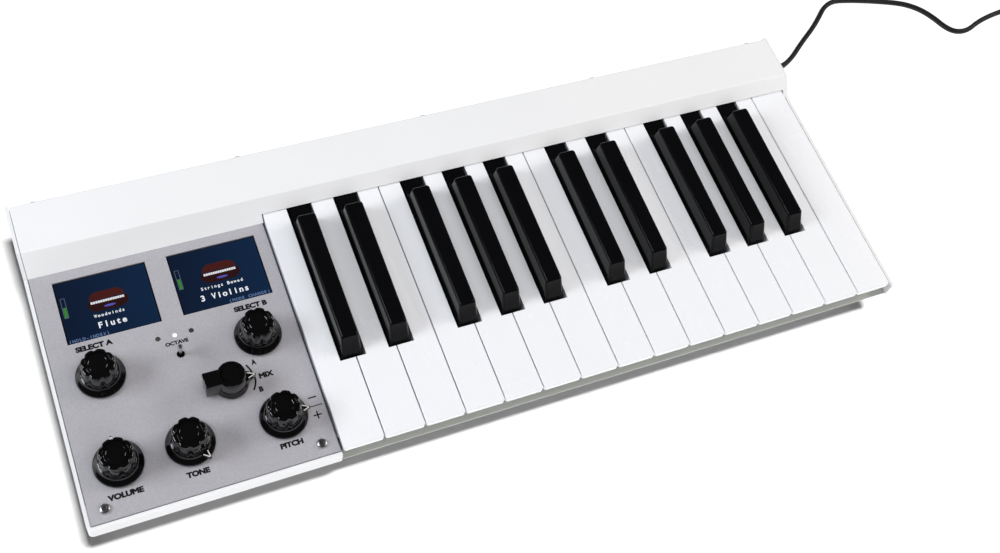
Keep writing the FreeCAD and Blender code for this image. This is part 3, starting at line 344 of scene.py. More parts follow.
def solder_mask(name):
    """Green lacquered circuit board with copper tracks showing through."""
    board = Finish(name, Specular_IOR_Level=0.6, Coat_Weight=0.4, Coat_Roughness=0.15)
    lines = board.node("ShaderNodeTexBrick", {"offset": 0.35},
                       {"Vector": board.spots, "Color1": (0.0, 0.0, 0.0), "Color2": (0.0, 0.0, 0.0),
                        "Mortar": (1.0, 1.0, 1.0), "Scale": 120.0, "Mortar Size": 0.06},
                       output=1)
    tracks = lines * board.ramp(board.grain(0.006, 1.0), 0.45, 0.55)
    board.set("Base_Color", board.mix(tracks, tint(18, 62, 40), tint(42, 104, 64)))
    board.set("Roughness", 0.28 + 0.15 * board.grain(0.01))
    board.relief(tracks, 0.00003, 0.5)
    return board.material


def pressed_felt(name, colour):
    """Matted wool: short fibres in every direction."""
    felt = Finish(name, Sheen_Weight=0.5, Sheen_Roughness=0.5, Specular_IOR_Level=0.1)
    fibres = felt.grain(0.0005, 6.0)
    felt.set("Base_Color", felt.mix(fibres, shade(colour, 0.7), shade(colour, 1.3)))
    felt.set("Roughness", 0.85 + 0.1 * fibres)
    felt.relief(fibres, 0.0003, 0.8)
    return felt.material


def dull_rubber(name, colour, depth=0.00003):
    """Rubber or soft PVC with a slightly dusty skin."""
    rubber = Finish(name, Specular_IOR_Level=0.35)
    dust = rubber.grain(0.006, 4.0)
    rubber.set("Base_Color", rubber.mix(dust, shade(colour, 0.8), shade(colour, 1.35)))
    rubber.set("Roughness", 0.5 + 0.2 * dust)
    rubber.relief(rubber.grain(0.0007, 2.0), depth, 0.4)
    return rubber.material


def printed_ink(name, colour):
    """Screen-printed ink with slightly uneven cover."""
    ink = Finish(name, Specular_IOR_Level=0.3)
    patches = ink.grain(0.0008, 3.0)
    ink.set("Base_Color", ink.mix(patches, shade(colour, 0.7), shade(colour, 1.5)))
    ink.set("Roughness", 0.45 + 0.2 * patches)
    return ink.material


def lit_colour(name, colour, strength=1.0, spread=0.08):
    """A part of the display picture, lit from behind in tiny dots."""
    glow = Finish(name, Base_Color=(0.0, 0.0, 0.0), Roughness=0.25, Emission_Strength=strength)
    dots = glow.grain(0.0004, 1.0)
    glow.set("Emission_Color", glow.mix(dots, shade(colour, 1 - spread),
                                        shade(colour, 1 + spread)))
    return glow.material


def lit_backdrop(name, low, high, left, width):
    """The display's background, which brightens towards its right end, under clear glass."""
    glass = Finish(name, Roughness=0.12, Specular_IOR_Level=0.4, Coat_Weight=0.25,
                   Coat_Roughness=0.03, Emission_Strength=1.0)
    glass.set("Base_Color", (0.0, 0.001, 0.003))
    axes = glass.node("ShaderNodeSeparateXYZ", {}, {0: glass.spots})
    across = glass.node("ShaderNodeMapRange", {}, {0: axes, 1: left, 2: left + width})
    wash = glass.grain(0.02, 2.0)
    glass.set("Emission_Color", glass.mix(across * 0.8 + wash * 0.2, low, high))
    return glass.material


# ---- modelling helpers -------------------------------------------------------------

def spot(place, height=0.0):
    """A point on the panel, from millimetres across, back and up."""
    return Vector((PANEL_LOW.x + place[0] * MM, PANEL_LOW.y + place[1] * MM,
                   PANEL_TOP + height * MM))


def piece_from(shape, name, finish, body, crease=32.0):
    """Turn a bmesh into a finished piece that rides on a body."""
    bmesh.ops.remove_doubles(shape, verts=shape.verts, dist=1e-7)
    bmesh.ops.recalc_face_normals(shape, faces=shape.faces)
    mesh = bpy.data.meshes.new(name)
    shape.to_mesh(mesh)
    shape.free()
    mesh.shade_smooth()
    mesh.set_sharp_from_angle(angle=math.radians(crease))
    return settle(mesh, name, finish, body)


def settle(mesh, name, finish, body):
    mesh.materials.clear()
    mesh.materials.append(finish)
    piece = bpy.data.objects.new(name, mesh)
    bpy.context.scene.collection.objects.link(piece)
    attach(piece, body)
    return piece


def turn_profile(shape, profile, steps, axis=(0.0, 0.0, 1.0)):
    """Spin a profile of (radius, height) millimetres round the upright axis."""
    rings = [shape.verts.new((radius * MM, 0.0, height * MM)) for radius, height in profile]
    edges = [shape.edges.new(pair) for pair in zip(rings, rings[1:])]
    bmesh.ops.spin(shape, geom=rings + edges, cent=(0.0, 0.0, 0.0), axis=axis,
                   angle=2 * math.pi, steps=steps, use_merge=True, use_duplicate=False)
    bmesh.ops.remove_doubles(shape, verts=shape.verts, dist=1e-7)


def block_on(shape, low, high):
    """A box between two corners in millimetres; returns its vertices."""
    made = bmesh.ops.create_cube(shape, size=1.0)["verts"]
    low, high = Vector(low) * MM, Vector(high) * MM
    bmesh.ops.scale(shape, verts=made, vec=high - low)
    bmesh.ops.translate(shape, verts=made, vec=(low + high) / 2)
    return made


def soften(shape, edges, radius, segments=3):
    bmesh.ops.bevel(shape, geom=edges, offset=radius * MM, offset_type="OFFSET",
                    affect="EDGES", segments=segments, profile=0.5, material=-1,
                    clamp_overlap=True)


def slab(shape, outline, low, high):
    """A flat plate with this outline of (x, y) millimetres between two heights."""
    rim = [shape.verts.new((x * MM, y * MM, low * MM)) for x, y in outline]
    face = shape.faces.new(rim)
    grown = bmesh.ops.extrude_face_region(shape, geom=[face])["geom"]
    risen = [item for item in grown if isinstance(item, bmesh.types.BMVert)]
    bmesh.ops.translate(shape, verts=risen, vec=(0.0, 0.0, (high - low) * MM))
    return rim + risen


def move_all(shape, place, heading=0.0):
    """Turn a shape round the upright axis and set it on a point in metres."""
    bmesh.ops.rotate(shape, verts=shape.verts, cent=(0.0, 0.0, 0.0),
                     matrix=Matrix.Rotation(math.radians(heading), 3, "Z"))
    bmesh.ops.translate(shape, verts=shape.verts, vec=place)


def lettering(text, height, weight, depth, width=None):
    """Raised bold letters as a mesh, their left end and baseline on the origin, in metres."""
    curve = bpy.data.curves.new("letters", "FONT")
    curve.body = text
    curve.size = height * MM / 0.73
    curve.bevel_depth = weight * MM
    curve.bevel_resolution = 0
    curve.resolution_u = 4
    carrier = bpy.data.objects.new("letters", curve)
    bpy.context.scene.collection.objects.link(carrier)
    bpy.context.view_layer.update()
    flat = bpy.data.meshes.new_from_object(
        carrier.evaluated_get(bpy.context.evaluated_depsgraph_get()))
    bpy.data.objects.remove(carrier)
    bpy.data.curves.remove(curve)
    low = min(vertex.co.x for vertex in flat.vertices)
    high = max(vertex.co.x for vertex in flat.vertices)
    stretch = width * MM / (high - low) if width else 1.0
    flat.transform(Matrix.Diagonal((stretch, 1.0, depth / weight, 1.0))
                   @ Matrix.Translation((-low, 0, 0)))
    return flat


def add_letters(shape, flat, place):
    """Add lettering to a shape at a point."""
    flat.transform(Matrix.Translation(place))
    shape.from_mesh(flat)
    bpy.data.meshes.remove(flat)


def stroke(shape, start, end, width, low, high):
    """A straight bar between two (x, y) points in millimetres."""
    along = Vector((end[0] - start[0], end[1] - start[1]))
    side = Vector((-along.y, along.x)).normalized() * width / 2
    corners = [(start[0] - side.x, start[1] - side.y), (end[0] - side.x, end[1] - side.y),
               (end[0] + side.x, end[1] + side.y), (start[0] + side.x, start[1] + side.y)]
    return slab(shape, corners, low, high)


def ring_outline(centre, radius_x, radius_y, count):
    return [(centre[0] + radius_x * math.cos(2 * math.pi * step / count),
             centre[1] + radius_y * math.sin(2 * math.pi * step / count))
            for step in range(count)]


def finish_node(node, finish):
    """Give a carried-over part its material."""
    mesh = NODES[node].data
    mesh.materials.clear()
    mesh.materials.append(finish)


# ---- the stage ---------------------------------------------------------------------

# Lights: name, place, aim, width, depth, power in watts, colour, what they light.
LIGHTS = (
    ("left_softbox", (-1.12, 0.17, 0.72), (-0.1, 0.0, 0.03), 0.6, 0.42, 8.8,
     (0.91, 0.96, 1.0), "object"),
    ("right_softbox", (1.12, -0.06, 0.72), (0.05, 0.0, 0.03), 0.6, 0.42, 6.2,
     (1.0, 0.95, 0.88), "object"),
    ("front_fill", (0.3, -1.3, 0.9), (0.0, 0.0, 0.03), 1.6, 1.0, 8.0, (1.0, 1.0, 1.0), "fill"),
    ("top_fill", (0.0, 0.1, 1.5), (0.0, 0.0, 0.0), 1.8, 1.8, 12.5, (1.0, 1.0, 1.0), "fill"),
    ("floor_light", (0.0, -0.44, 2.2), (0.0, -0.44, 0.0), 0.3, 0.18, 125.0, (1.0, 1.0, 1.0),
     "floor"),
)


class KEYBOARD_OT_stage(bpy.types.Operator):
    """Make the camera, the soft lights and the pale floor"""
    bl_idname = "keyboard.stage"
    bl_label = "Stage"

    def execute(self, context):
        scene = context.scene
        settings = scene.keyboard_stage
        lens = bpy.data.cameras.new("camera")
        lens.lens = settings.lens
        lens.sensor_width = 36.0
        lens.clip_start = 0.01
        lens.clip_end = 20.0
        camera = bpy.data.objects.new("camera", lens)
        scene.collection.objects.link(camera)
        place = Vector(settings.camera_place)
        aim = (Vector(settings.camera_target) - place).to_track_quat("-Z", "Y")
        lean = Euler((0.0, 0.0, settings.camera_roll)).to_quaternion()
        camera.matrix_world = Matrix.Translation(place) @ (aim @ lean).to_matrix().to_4x4()
        scene.camera = camera

        shape = bmesh.new()
        bmesh.ops.create_grid(shape, x_segments=1, y_segments=1, size=4.0)
        mesh = bpy.data.meshes.new("floor")
        shape.to_mesh(mesh)
        shape.free()
        paper = Finish("studio_paper", Roughness=0.9, Specular_IOR_Level=0.1)
        paper.set("Base_Color", paper.mix(paper.grain(0.4, 2.0),
                                          shade(settings.floor_colour, 0.995),
                                          shade(settings.floor_colour, 1.005)))
        mesh.materials.append(paper.material)
        floor = bpy.data.objects.new("floor", mesh)
        scene.collection.objects.link(floor)

        only_floor, not_floor = (bpy.data.collections.new(name) for name in
                                 ("floor_receiver", "object_receiver"))
        for group, state in ((only_floor, "INCLUDE"), (not_floor, "EXCLUDE")):
            group.objects.link(floor)
            group.collection_objects[0].light_linking.link_state = state
        for name, place, target, width, depth, power, colour, lit in LIGHTS:
            lamp = bpy.data.lights.new(name, "AREA")
            lamp.shape = "RECTANGLE"
            lamp.size = width
            lamp.size_y = depth
            lamp.energy = power
            lamp.color = colour
            light = bpy.data.objects.new(name, lamp)
            scene.collection.objects.link(light)
            turn = (Vector(target) - Vector(place)).to_track_quat("-Z", "Y").to_matrix().to_4x4()
            light.matrix_world = Matrix.Translation(place) @ turn
            light.light_linking.receiver_collection = only_floor if lit == "floor" else not_floor
            light.visible_glossy = lit == "object"

        scene.world = self.make_world(settings)
        scene.view_settings.view_transform = "Standard"
        return {"FINISHED"}

    def make_world(self, settings):
        """Even white surroundings that gloss sees as a dim room."""
        world = bpy.data.worlds.new("studio")
        world.use_nodes = True
        tree = world.node_tree
        bright = tree.nodes["Background"]
        bright.inputs[0].default_value = (1.0, 1.0, 1.0, 1.0)
        bright.inputs[1].default_value = settings.sky
        dim = tree.nodes.new("ShaderNodeBackground")
        dim.inputs[1].default_value = settings.gloss_sky
        rays = tree.nodes.new("ShaderNodeLightPath")
        choice = tree.nodes.new("ShaderNodeMixShader")
        tree.links.new(rays.outputs["Is Glossy Ray"], choice.inputs[0])
        tree.links.new(bright.outputs[0], choice.inputs[1])
        tree.links.new(dim.outputs[0], choice.inputs[2])
        tree.links.new(choice.outputs[0], tree.nodes["World Output"].inputs[0])
        return world


# ---- the supply cord ---------------------------------------------------------------

# The supply cord's route from its plug's relief to the coil, in millimetres.
CORD_ROUTE = (
    (249.75, 98.4, 13.5), (262.0, 98.4, 13.5), (279.0, 98.8, 7.0), (295.0, 106.0, 2.4),
    (311.0, 118.2, 1.8), (331.0, 131.6, 1.8), (350.0, 149.0, 1.8), (371.0, 145.2, 1.8),
    (397.0, 137.4, 1.8), (414.0, 130.6, 1.8), (426.0, 118.8, 1.8), (434.3, 99.6, 1.8),
    (447.5, 96.1, 1.8), (465.0, 103.2, 1.8), (487.0, 106.8, 1.8), (508.3, 107.0, 1.8),
)
COIL_CENTRE = (524.0, 80.0)
COIL_RADIUS = 20.0
# The coil's turns in order: column 0 inside or 1 outside, and row from the floor up.
COIL_TURNS = ((1, 0), (0, 0), (0, 1), (0, 2), (0, 3), (0, 4), (1, 4), (1, 3), (1, 2), (1, 1))
COIL_START = 70.0
COIL_SHIFT = 30.0
COIL_STEPS = 16


def coil_points(diameter):
    """The coil's turns, clockwise from above: each changes place a little before the last did."""
    pitch = diameter + 0.02

    def corner(turn):
        column, row = COIL_TURNS[min(turn, len(COIL_TURNS) - 1)]
        return COIL_RADIUS + (column - 0.5) * pitch, diameter / 2 + 0.05 + row * pitch

    points = []
    step = 360.0 / COIL_STEPS
    spread = 1 / math.cos(math.radians(step / 2))
    whole = 360.0 - COIL_SHIFT
    travelled = 0.0
    last = whole * len(COIL_TURNS) - COIL_SHIFT + 20.0
    while travelled < last:
        turn, past = divmod(travelled + COIL_SHIFT, whole)
        turn = int(turn)
        radius, height = corner(turn)
        if past < COIL_SHIFT and turn > 0:
            share = past / COIL_SHIFT
            share = share * share * (3 - 2 * share)
            before = corner(turn - 1)
            radius = before[0] + (radius - before[0]) * share
            height = before[1] + (height - before[1]) * share
        angle = math.radians(COIL_START - travelled)
        points.append((COIL_CENTRE[0] + radius * spread * math.cos(angle),
                       COIL_CENTRE[1] + radius * spread * math.sin(angle), height))
        travelled += step
    return points


class KEYBOARD_OT_cord(bpy.types.Operator):
    """Lay the supply cord from its plug to its tied coil"""
    bl_idname = "keyboard.cord"
    bl_label = "Supply cord"

    def execute(self, context):
        settings = context.scene.keyboard_cord
        diameter = settings.diameter / MM
        jacket = dull_rubber("cord_jacket", settings.jacket_colour, 0.00002)
        plug_low, plug_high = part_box("usb_plug")
        plug_x = (plug_low.x + plug_high.x) / 2 / MM
        plug_end = plug_high.y / MM
        points = list(CORD_ROUTE) + coil_points(diameter)
        points += [(plug_x, plug_end + 2.0, 4.2), (plug_x, plug_end - 4.0, 4.0)]
        curve = bpy.data.curves.new("supply_lead", "CURVE")
        curve.dimensions = "3D"
        curve.bevel_depth = settings.diameter / 2
        curve.bevel_resolution = 4
        curve.resolution_u = 6
        curve.use_fill_caps = True
        line = curve.splines.new("NURBS")
        line.points.add(len(points) - 1)
        for point, (x, y, z) in zip(line.points, points):
            point.co = (x * MM, y * MM, z * MM, 1.0)
        line.order_u = 3
        line.use_endpoint_u = True
        curve.materials.append(jacket)
        lead = bpy.data.objects.new("supply_lead", curve)
        context.scene.collection.objects.link(lead)
        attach(lead, "base")
        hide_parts("supply_cord", "cord_coil")

        tie = self.make_tie(diameter)
        for node in ("dc_plug", "usb_plug"):
            finish_node(node, jacket)
        return {"FINISHED"}

    def make_tie(self, diameter):
        """A strap round the coil's turns."""
        shape = bmesh.new()
        sheet = 0.5
        wide, high = diameter + sheet + 0.05, 5 * (diameter + 0.02) + sheet + 0.05
        outline = [(-wide, 0.05), (wide, 0.05), (wide, high), (-wide, high)]
        rim = [shape.verts.new((x * MM, -1.6 * MM, z * MM)) for x, z in outline]
        shape.faces.new(rim)
        bmesh.ops.bevel(shape, geom=rim, offset=1.2 * MM, offset_type="OFFSET",
                        affect="VERTICES", segments=4, profile=0.5, material=-1)
        bmesh.ops.inset_region(shape, faces=shape.faces[:], thickness=sheet * MM,
                               use_boundary=True, use_even_offset=True)
        inner = max(shape.faces, key=lambda f: len(f.verts))
        bmesh.ops.delete(shape, geom=[inner], context="FACES")
        bmesh.ops.solidify(shape, geom=shape.faces[:], thickness=3.2 * MM)
        bmesh.ops.translate(shape, verts=shape.verts, vec=(COIL_RADIUS * MM, 0.0, 0.0))
        move_all(shape, Vector((COIL_CENTRE[0] * MM, COIL_CENTRE[1] * MM, 0.0)), 200.0)
        strap = dull_rubber("tie_strap", tint(20, 20, 21))
        return piece_from(shape, "cord_tie", strap, "base")


# ---- the case ----------------------------------------------------------------------

class KEYBOARD_OT_case(bpy.types.Operator):
    """Finish the bent sheets, the rail, the feet and the case screws"""
    bl_idname = "keyboard.case"
    bl_label = "Case"

    def execute(self, context):
        settings = context.scene.keyboard_case
        coat = powder_coat("white_powder_coat", settings.sheet_colour, settings.orange_peel)
        finish_node("base_tray", coat)
        finish_node("rear_cover", coat)
        # The rail gets the powder coat in a darker warm grey, which is partly its paint and partly
        # painted shade under the keys.
        rail = powder_coat("rail_coat_with_painted_shade", settings.rail_colour_with_shade, settings.orange_peel)
        finish_node("front_rail", rail)
        finish_node("rubber_feet", dull_rubber("foot_rubber", tint(24, 24, 25)))
        finish_node("case_screws", turned_metal("blackened_steel", tint(150, 150, 152), 0.3))
        return {"FINISHED"}


class KEYBOARD_OT_works(bpy.types.Operator):
    """Finish the key frame, springs, felts and boards inside the case"""
    bl_idname = "keyboard.works"
    bl_label = "Inner works"

    def execute(self, context):
        finish_node("key_chassis", rolled_zinc("zinc_plated_sheet"))
        steel = turned_metal("bright_steel", tint(188, 190, 193), 0.2)
        finish_node("pivot_rod", steel)
        finish_node("spring_comb", turned_metal("spring_steel", tint(150, 148, 142), 0.28))
        finish_node("key_felts", pressed_felt("red_felt", tint(126, 30, 32)))
        mask = solder_mask("green_board")
        finish_node("contact_board", mask)
        finish_node("main_board", mask)
        finish_node("rubber_contacts", dull_rubber("grey_rubber", tint(120, 120, 122)))
        housing = satin_plastic("control_housing", tint(40, 42, 46), 0.4, 0.6)
        finish_node("rotary_controls", housing)
        for node in ("plunger_a", "plunger_b"):
            finish_node(node, steel)
        return {"FINISHED"}


class KEYBOARD_OT_connectors(bpy.types.Operator):
    """Finish the sockets on the rear wall"""
    bl_idname = "keyboard.connectors"
    bl_label = "Connectors"

    def execute(self, context):
        finish_node("audio_jacks", satin_plastic("jack_plastic", tint(22, 22, 24), 0.3, 0.5))
        finish_node("usb_socket", turned_metal("socket_shell", tint(180, 181, 184), 0.25))
        finish_node("dc_inlet", satin_plastic("inlet_plastic", tint(20, 20, 22), 0.3, 0.5))
        return {"FINISHED"}


# ---- keys --------------------------------------------------------------------------

class KEYBOARD_OT_keys(bpy.types.Operator):
    """Finish the white and the black keys"""
    bl_idname = "keyboard.keys"
    bl_label = "Keys"

    def execute(self, context):
        settings = context.scene.keyboard_keys
        white = satin_plastic("white_key_plastic", settings.white_colour, 0.2, 0.34,
                              coat=0.15, spread=0.012)
        black = satin_plastic("black_key_plastic", settings.black_colour, 0.12, 0.22,
                              spread=0.3, gloss=0.18)
        for name in NODES:
            if name.startswith("white_key_"):
                finish_node(name, white)
            elif name.startswith("black_key_"):
                finish_node(name, black)
        return {"FINISHED"}


# ---- knobs -------------------------------------------------------------------------

KNOB_STEPS = 128
KNOB_FOOT = 1.0
FLUTE_SHARPNESS = 4.0
# How far a pointer's top falls and its underside rises from its root to its tip.
POINTER_DROP = 0.9
POINTER_LIFT = 0.5
# Pointers: root and crest over the knob's foot, in millimetres.
ROUND_POINTER = (8.0, 4.7)
MIX_POINTER = (6.0, 5.2)
MIX_TIP = 13.4
# Profiles in millimetres: (radius, height over the knob's foot).
SKIRT_PROFILE = ((11.6, 0.0), (12.6, 0.05), (12.92, 0.25), (13.0, 0.7), (12.9, 1.15),
                 (12.6, 1.5), (12.0, 2.15), (11.2, 3.0), (10.5, 3.75), (10.15, 4.3),
                 (10.0, 4.9))
GRIP_PROFILE = ((9.55, 5.1), (9.42, 5.5), (9.4, 6.2), (9.36, 8.5), (9.3, 11.0), (9.2, 13.6),
                (9.05, 14.6), (8.8, 15.3), (8.4, 15.75), (7.9, 15.95))
CROWN_PROFILE = ((7.5, 16.0), (7.0, 15.95), (6.8, 15.6), (6.7, 15.2), (6.3, 15.15),
                 (6.1, 15.3), (5.0, 15.4), (4.8, 15.25), (4.6, 15.4), (3.0, 15.45),
                 (1.2, 15.5), (0.0, 15.5))
INNER_PROFILE = ((0.0, 10.0), (3.2, 10.0), (3.2, 1.2), (10.6, 1.2), (11.2, 0.3))
MIX_SKIRT = ((8.2, 0.0), (9.1, 0.1), (9.3, 0.5), (9.2, 1.1), (8.7, 2.2), (8.3, 3.4), (8.1, 4.2))
MIX_GRIP = ((7.85, 4.5), (7.8, 5.5), (7.7, 9.0), (7.6, 12.2), (7.35, 13.0), (6.9, 13.4))
MIX_CROWN = ((6.3, 13.5), (5.6, 13.5), (5.4, 13.2), (5.0, 13.2), (4.8, 13.4), (2.4, 13.45),
             (0.0, 13.45))
MIX_INNER = ((0.0, 10.0), (3.2, 10.0), (3.2, 1.2), (7.2, 1.2), (7.8, 0.3))


def flute(shape, lobes, depth, foot, full):
    """Press flutes between the lobes into everything above the skirt."""
    for vertex in shape.verts:
        height = vertex.co.z / MM
        radius = math.hypot(vertex.co.x, vertex.co.y)
        if height < foot or radius < 7.4 * MM:
            continue
        angle = math.atan2(vertex.co.y, vertex.co.x)
        hollow = (0.5 + 0.5 * math.cos(lobes * angle)) ** FLUTE_SHARPNESS
        rise = min(1.0, (height - foot) / (full - foot))
        factor = 1 - depth * hollow * rise / radius
        vertex.co.x *= factor
        vertex.co.y *= factor


def pointer_wedge(shape, root, tip, half, top, base):
    """A raised wedge from the grip out to its tip, where it is thinner from both sides."""
    made = slab(shape, [(root, -half), (tip - 0.5, -0.55), (tip, 0.0), (tip - 0.5, 0.55),
                        (root, half)], base, top)
    for vertex in made:
        reach = (vertex.co.x / MM - root) / (tip - root)
        upper = vertex.co.z > (top - 0.01) * MM
        vertex.co.z += (-POINTER_DROP if upper else POINTER_LIFT) * reach * MM


class KEYBOARD_OT_knobs(bpy.types.Operator):
    """Turn the five fluted knobs and the bar knob, with their pointers"""
    bl_idname = "keyboard.knobs"
    bl_label = "Knobs"

    def execute(self, context):
        settings = context.scene.keyboard_knobs
        self.shell = satin_plastic("knob_plastic", settings.shell_colour, 0.06, 0.14,
                                   grain=0.0006, depth=0.000006, coat=0.25, spread=0.3,
                                   gloss=0.4)
        self.mark = printed_ink("pointer_inlay", settings.mark_colour)
        for name, place in KNOB_PLACES.items():
            foot = spot(place, KNOB_FOOT)
            if name == "mix":
                self.bar_knob(foot)
            else:
                self.round_knob(name, foot, settings)
            if name in POINTER_HEADINGS:
                self.inlay(name, foot, settings)
        return {"FINISHED"}

    def round_knob(self, name, foot, settings):
        shape = bmesh.new()
        turn_profile(shape, INNER_PROFILE + SKIRT_PROFILE + GRIP_PROFILE + CROWN_PROFILE,
                     KNOB_STEPS)
        flute(shape, settings.lobes, settings.lobe_depth, 5.0, 6.0)
        if name in POINTER_HEADINGS:
            root, crest = ROUND_POINTER
            pointer_wedge(shape, root, settings.pointer_reach / MM, 3.3, crest, 1.0)
        move_all(shape, foot, POINTER_HEADINGS.get(name, 0.0))
        knob = piece_from(shape, f"{name}_knob", self.shell, f"knob_{name}")
        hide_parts(f"knob_{name}")

    def bar_knob(self, foot):
        shape = bmesh.new()
        turn_profile(shape, MIX_INNER + MIX_SKIRT + MIX_GRIP + MIX_CROWN, KNOB_STEPS)
        bar = block_on(shape, (-14.6, -4.5, 0.6), (-3.5, 4.5, 13.2))
        edges = [e for e in shape.edges if e.verts[0] in bar and e.verts[1] in bar]
        soften(shape, edges, 0.5)
        root, crest = MIX_POINTER
        pointer_wedge(shape, root, MIX_TIP, 4.2, crest, 1.0)
        move_all(shape, foot)
        knob = piece_from(shape, "mix_knob", self.shell, "knob_mix")
        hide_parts("knob_mix")

    def inlay(self, name, foot, settings):
        """The pale V let into a pointer."""
        shape = bmesh.new()
        half = 1.6
        if name == "mix":
            start, tip = 8.9, 12.8
            root, crest = MIX_POINTER
            end = MIX_TIP
        else:
            end = settings.pointer_reach / MM
            start, tip = 10.4, end - 0.8
            root, crest = ROUND_POINTER
        for side in (-1, 1):
            made = stroke(shape, (start, side * half), (tip, side * 0.12), 0.55, crest,
                          crest + 0.06)
            for vertex in made:
                reach = (vertex.co.x / MM - root) / (end - root)
                vertex.co.z -= POINTER_DROP * reach * MM
        move_all(shape, foot, POINTER_HEADINGS[name])
        piece_from(shape, f"{name}_pointer_inlay", self.mark, f"knob_{name}")


# ---- panel -------------------------------------------------------------------------

# Legends: text, left end, baseline, width, in millimetres on the panel.
LEGENDS = (
    ("VOLUME", 10.9, 9.9, 18.2),
    ("TONE", 51.0, 9.7, 12.2),
    ("PITCH", 101.0, 10.2, 12.4),
    ("SELECT A", 14.2, 95.0, 19.6),
    ("SELECT B", 100.0, 94.6, 18.6),
    ("OCTAVE", 59.4, 84.9, 12.5),
    ("MIX", 101.8, 52.5, 8.0),
    ("A", 100.0, 61.4, 2.7),
    ("B", 99.7, 45.0, 2.3),
)
LEGEND_HEIGHTS = {"OCTAVE": 2.1}
LEGEND_WEIGHTS = {"OCTAVE": 0.16}
MIX_ARC = ((97.0, 62.2), (98.3, 59.4), (99.1, 56.3), (99.5, 53.9), (99.4, 52.0),
           (98.5, 49.3), (97.0, 46.9))


class KEYBOARD_OT_panel(bpy.types.Operator):
    """Paint the control panel and print its legends"""
    bl_idname = "keyboard.panel"
    bl_label = "Panel"

    def execute(self, context):
        settings = context.scene.keyboard_panel
        finish_node("control_panel", flecked_paint("panel_paint", settings.paint_colour,
                                                   settings.fleck))
        depth = settings.ink_depth / MM
        shape = bmesh.new()
        for text, left, base, width in LEGENDS:
            weight = LEGEND_WEIGHTS.get(text, 0.26)
            flat = lettering(text, LEGEND_HEIGHTS.get(text, 2.9), weight, depth, width)
            add_letters(shape, flat, spot((left, base)))
        lines = bmesh.new()
        for start, end in zip(MIX_ARC, MIX_ARC[1:]):
            stroke(lines, start, end, 0.95, 0.0, depth)
        stroke(lines, (123.0, 33.6), (127.4, 33.6), 0.75, 0.0, depth)
        stroke(lines, (122.2, 28.5), (129.4, 28.5), 0.5, 0.0, depth)
        stroke(lines, (122.8, 23.1), (127.4, 23.1), 0.75, 0.0, depth)
        stroke(lines, (125.1, 20.8), (125.1, 25.4), 0.75, 0.0, depth)
        move_all(lines, Vector((PANEL_LOW.x, PANEL_LOW.y, PANEL_TOP)))
        ink = printed_ink("legend_ink", settings.ink_colour)
        piece_from(shape, "panel_legends", ink, "base")
        piece_from(lines, "panel_marks", ink, "base")
        return {"FINISHED"}


class KEYBOARD_OT_fittings(bpy.types.Operator):
    """Make the panel screws, the lamps and the octave switch"""
    bl_idname = "keyboard.fittings"
    bl_label = "Switch, lamps and screws"

    def execute(self, context):
        self.make_screws()
        self.make_lamps()
        self.make_switch()
        return {"FINISHED"}

    def make_screws(self):
        """Button heads with a hexagon socket."""
        steel = turned_metal("screw_steel", tint(214, 214, 216), 0.28)
        shape = bmesh.new()
        profile = ((0.0, 0.55), (1.1, 0.55), (1.1, 1.6), (1.5, 1.62), (2.0, 1.5), (2.5, 1.15),
                   (2.85, 0.65), (3.0, 0.2), (3.0, 0.0), (1.4, 0.0), (1.4, -5.0), (0.0, -5.0))
        turn_profile(shape, profile, 36)
        for vertex in shape.verts:
            radius = math.hypot(vertex.co.x, vertex.co.y)
            if abs(radius - 1.1 * MM) < 1e-5:
                angle = math.atan2(vertex.co.y, vertex.co.x)
                away = angle % math.radians(60) - math.radians(30)
                factor = 1 / math.cos(away)
                vertex.co.x *= factor
                vertex.co.y *= factor
        pattern = bpy.data.meshes.new("screw")
        shape.to_mesh(pattern)
        shape.free()
        both = bmesh.new()
        for place in SCREW_PLACES:
            copy = pattern.copy()
            copy.transform(Matrix.Translation(spot(place)))
            both.from_mesh(copy)
            bpy.data.meshes.remove(copy)
        bpy.data.meshes.remove(pattern)
        screws = piece_from(both, "panel_button_screws", steel, "base")
        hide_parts("panel_screws")

    def make_lamps(self):
        """Three small domes; the middle one is lit."""
        dark = satin_plastic("unlit_lens", tint(52, 62, 52), 0.15, 0.25, coat=0.5)
        lit = lit_colour("lit_lens", (1.0, 1.0, 1.0), 1.4)
        for step, finish, name in ((-1, dark, "left"), (0, lit, "middle"), (1, dark, "right")):
            shape = bmesh.new()
            turn_profile(shape, ((0.0, -11.0), (1.2, -11.0), (1.2, -1.4), (1.15, -1.0),
                                 (0.9, -0.55), (0.5, -0.25), (0.0, -0.15)), 24)
            move_all(shape, spot((LAMP_PLACE[0] + LAMP_PITCH * step, LAMP_PLACE[1])))
            lamp = piece_from(shape, f"lamp_{name}", finish, "base")
            if step == 0:
                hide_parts("octave_leds")

    def make_switch(self):
        """The switch's housing and its bat lever."""
        finish_node("toggle_switch", satin_plastic("switch_housing", tint(16, 16, 18), 0.25, 0.4))
        nickel = turned_metal("satin_nickel", tint(222, 222, 222), 0.26, 0.002)
        shape = bmesh.new()
        turn_profile(shape, ((0.0, -4.5), (0.7, -4.4), (0.72, 0.0), (0.85, 3.0), (1.1, 6.0),
                             (1.42, 8.2), (1.5, 9.0), (1.42, 9.7), (1.05, 10.25), (0.5, 10.45),
                             (0.0, 10.5)), 32)
        move_all(shape, spot(TOGGLE_PLACE))
        lever = piece_from(shape, "bat_lever", nickel, "toggle_lever")
        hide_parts("toggle_lever")


# ---- screens -----------------------------------------------------------------------

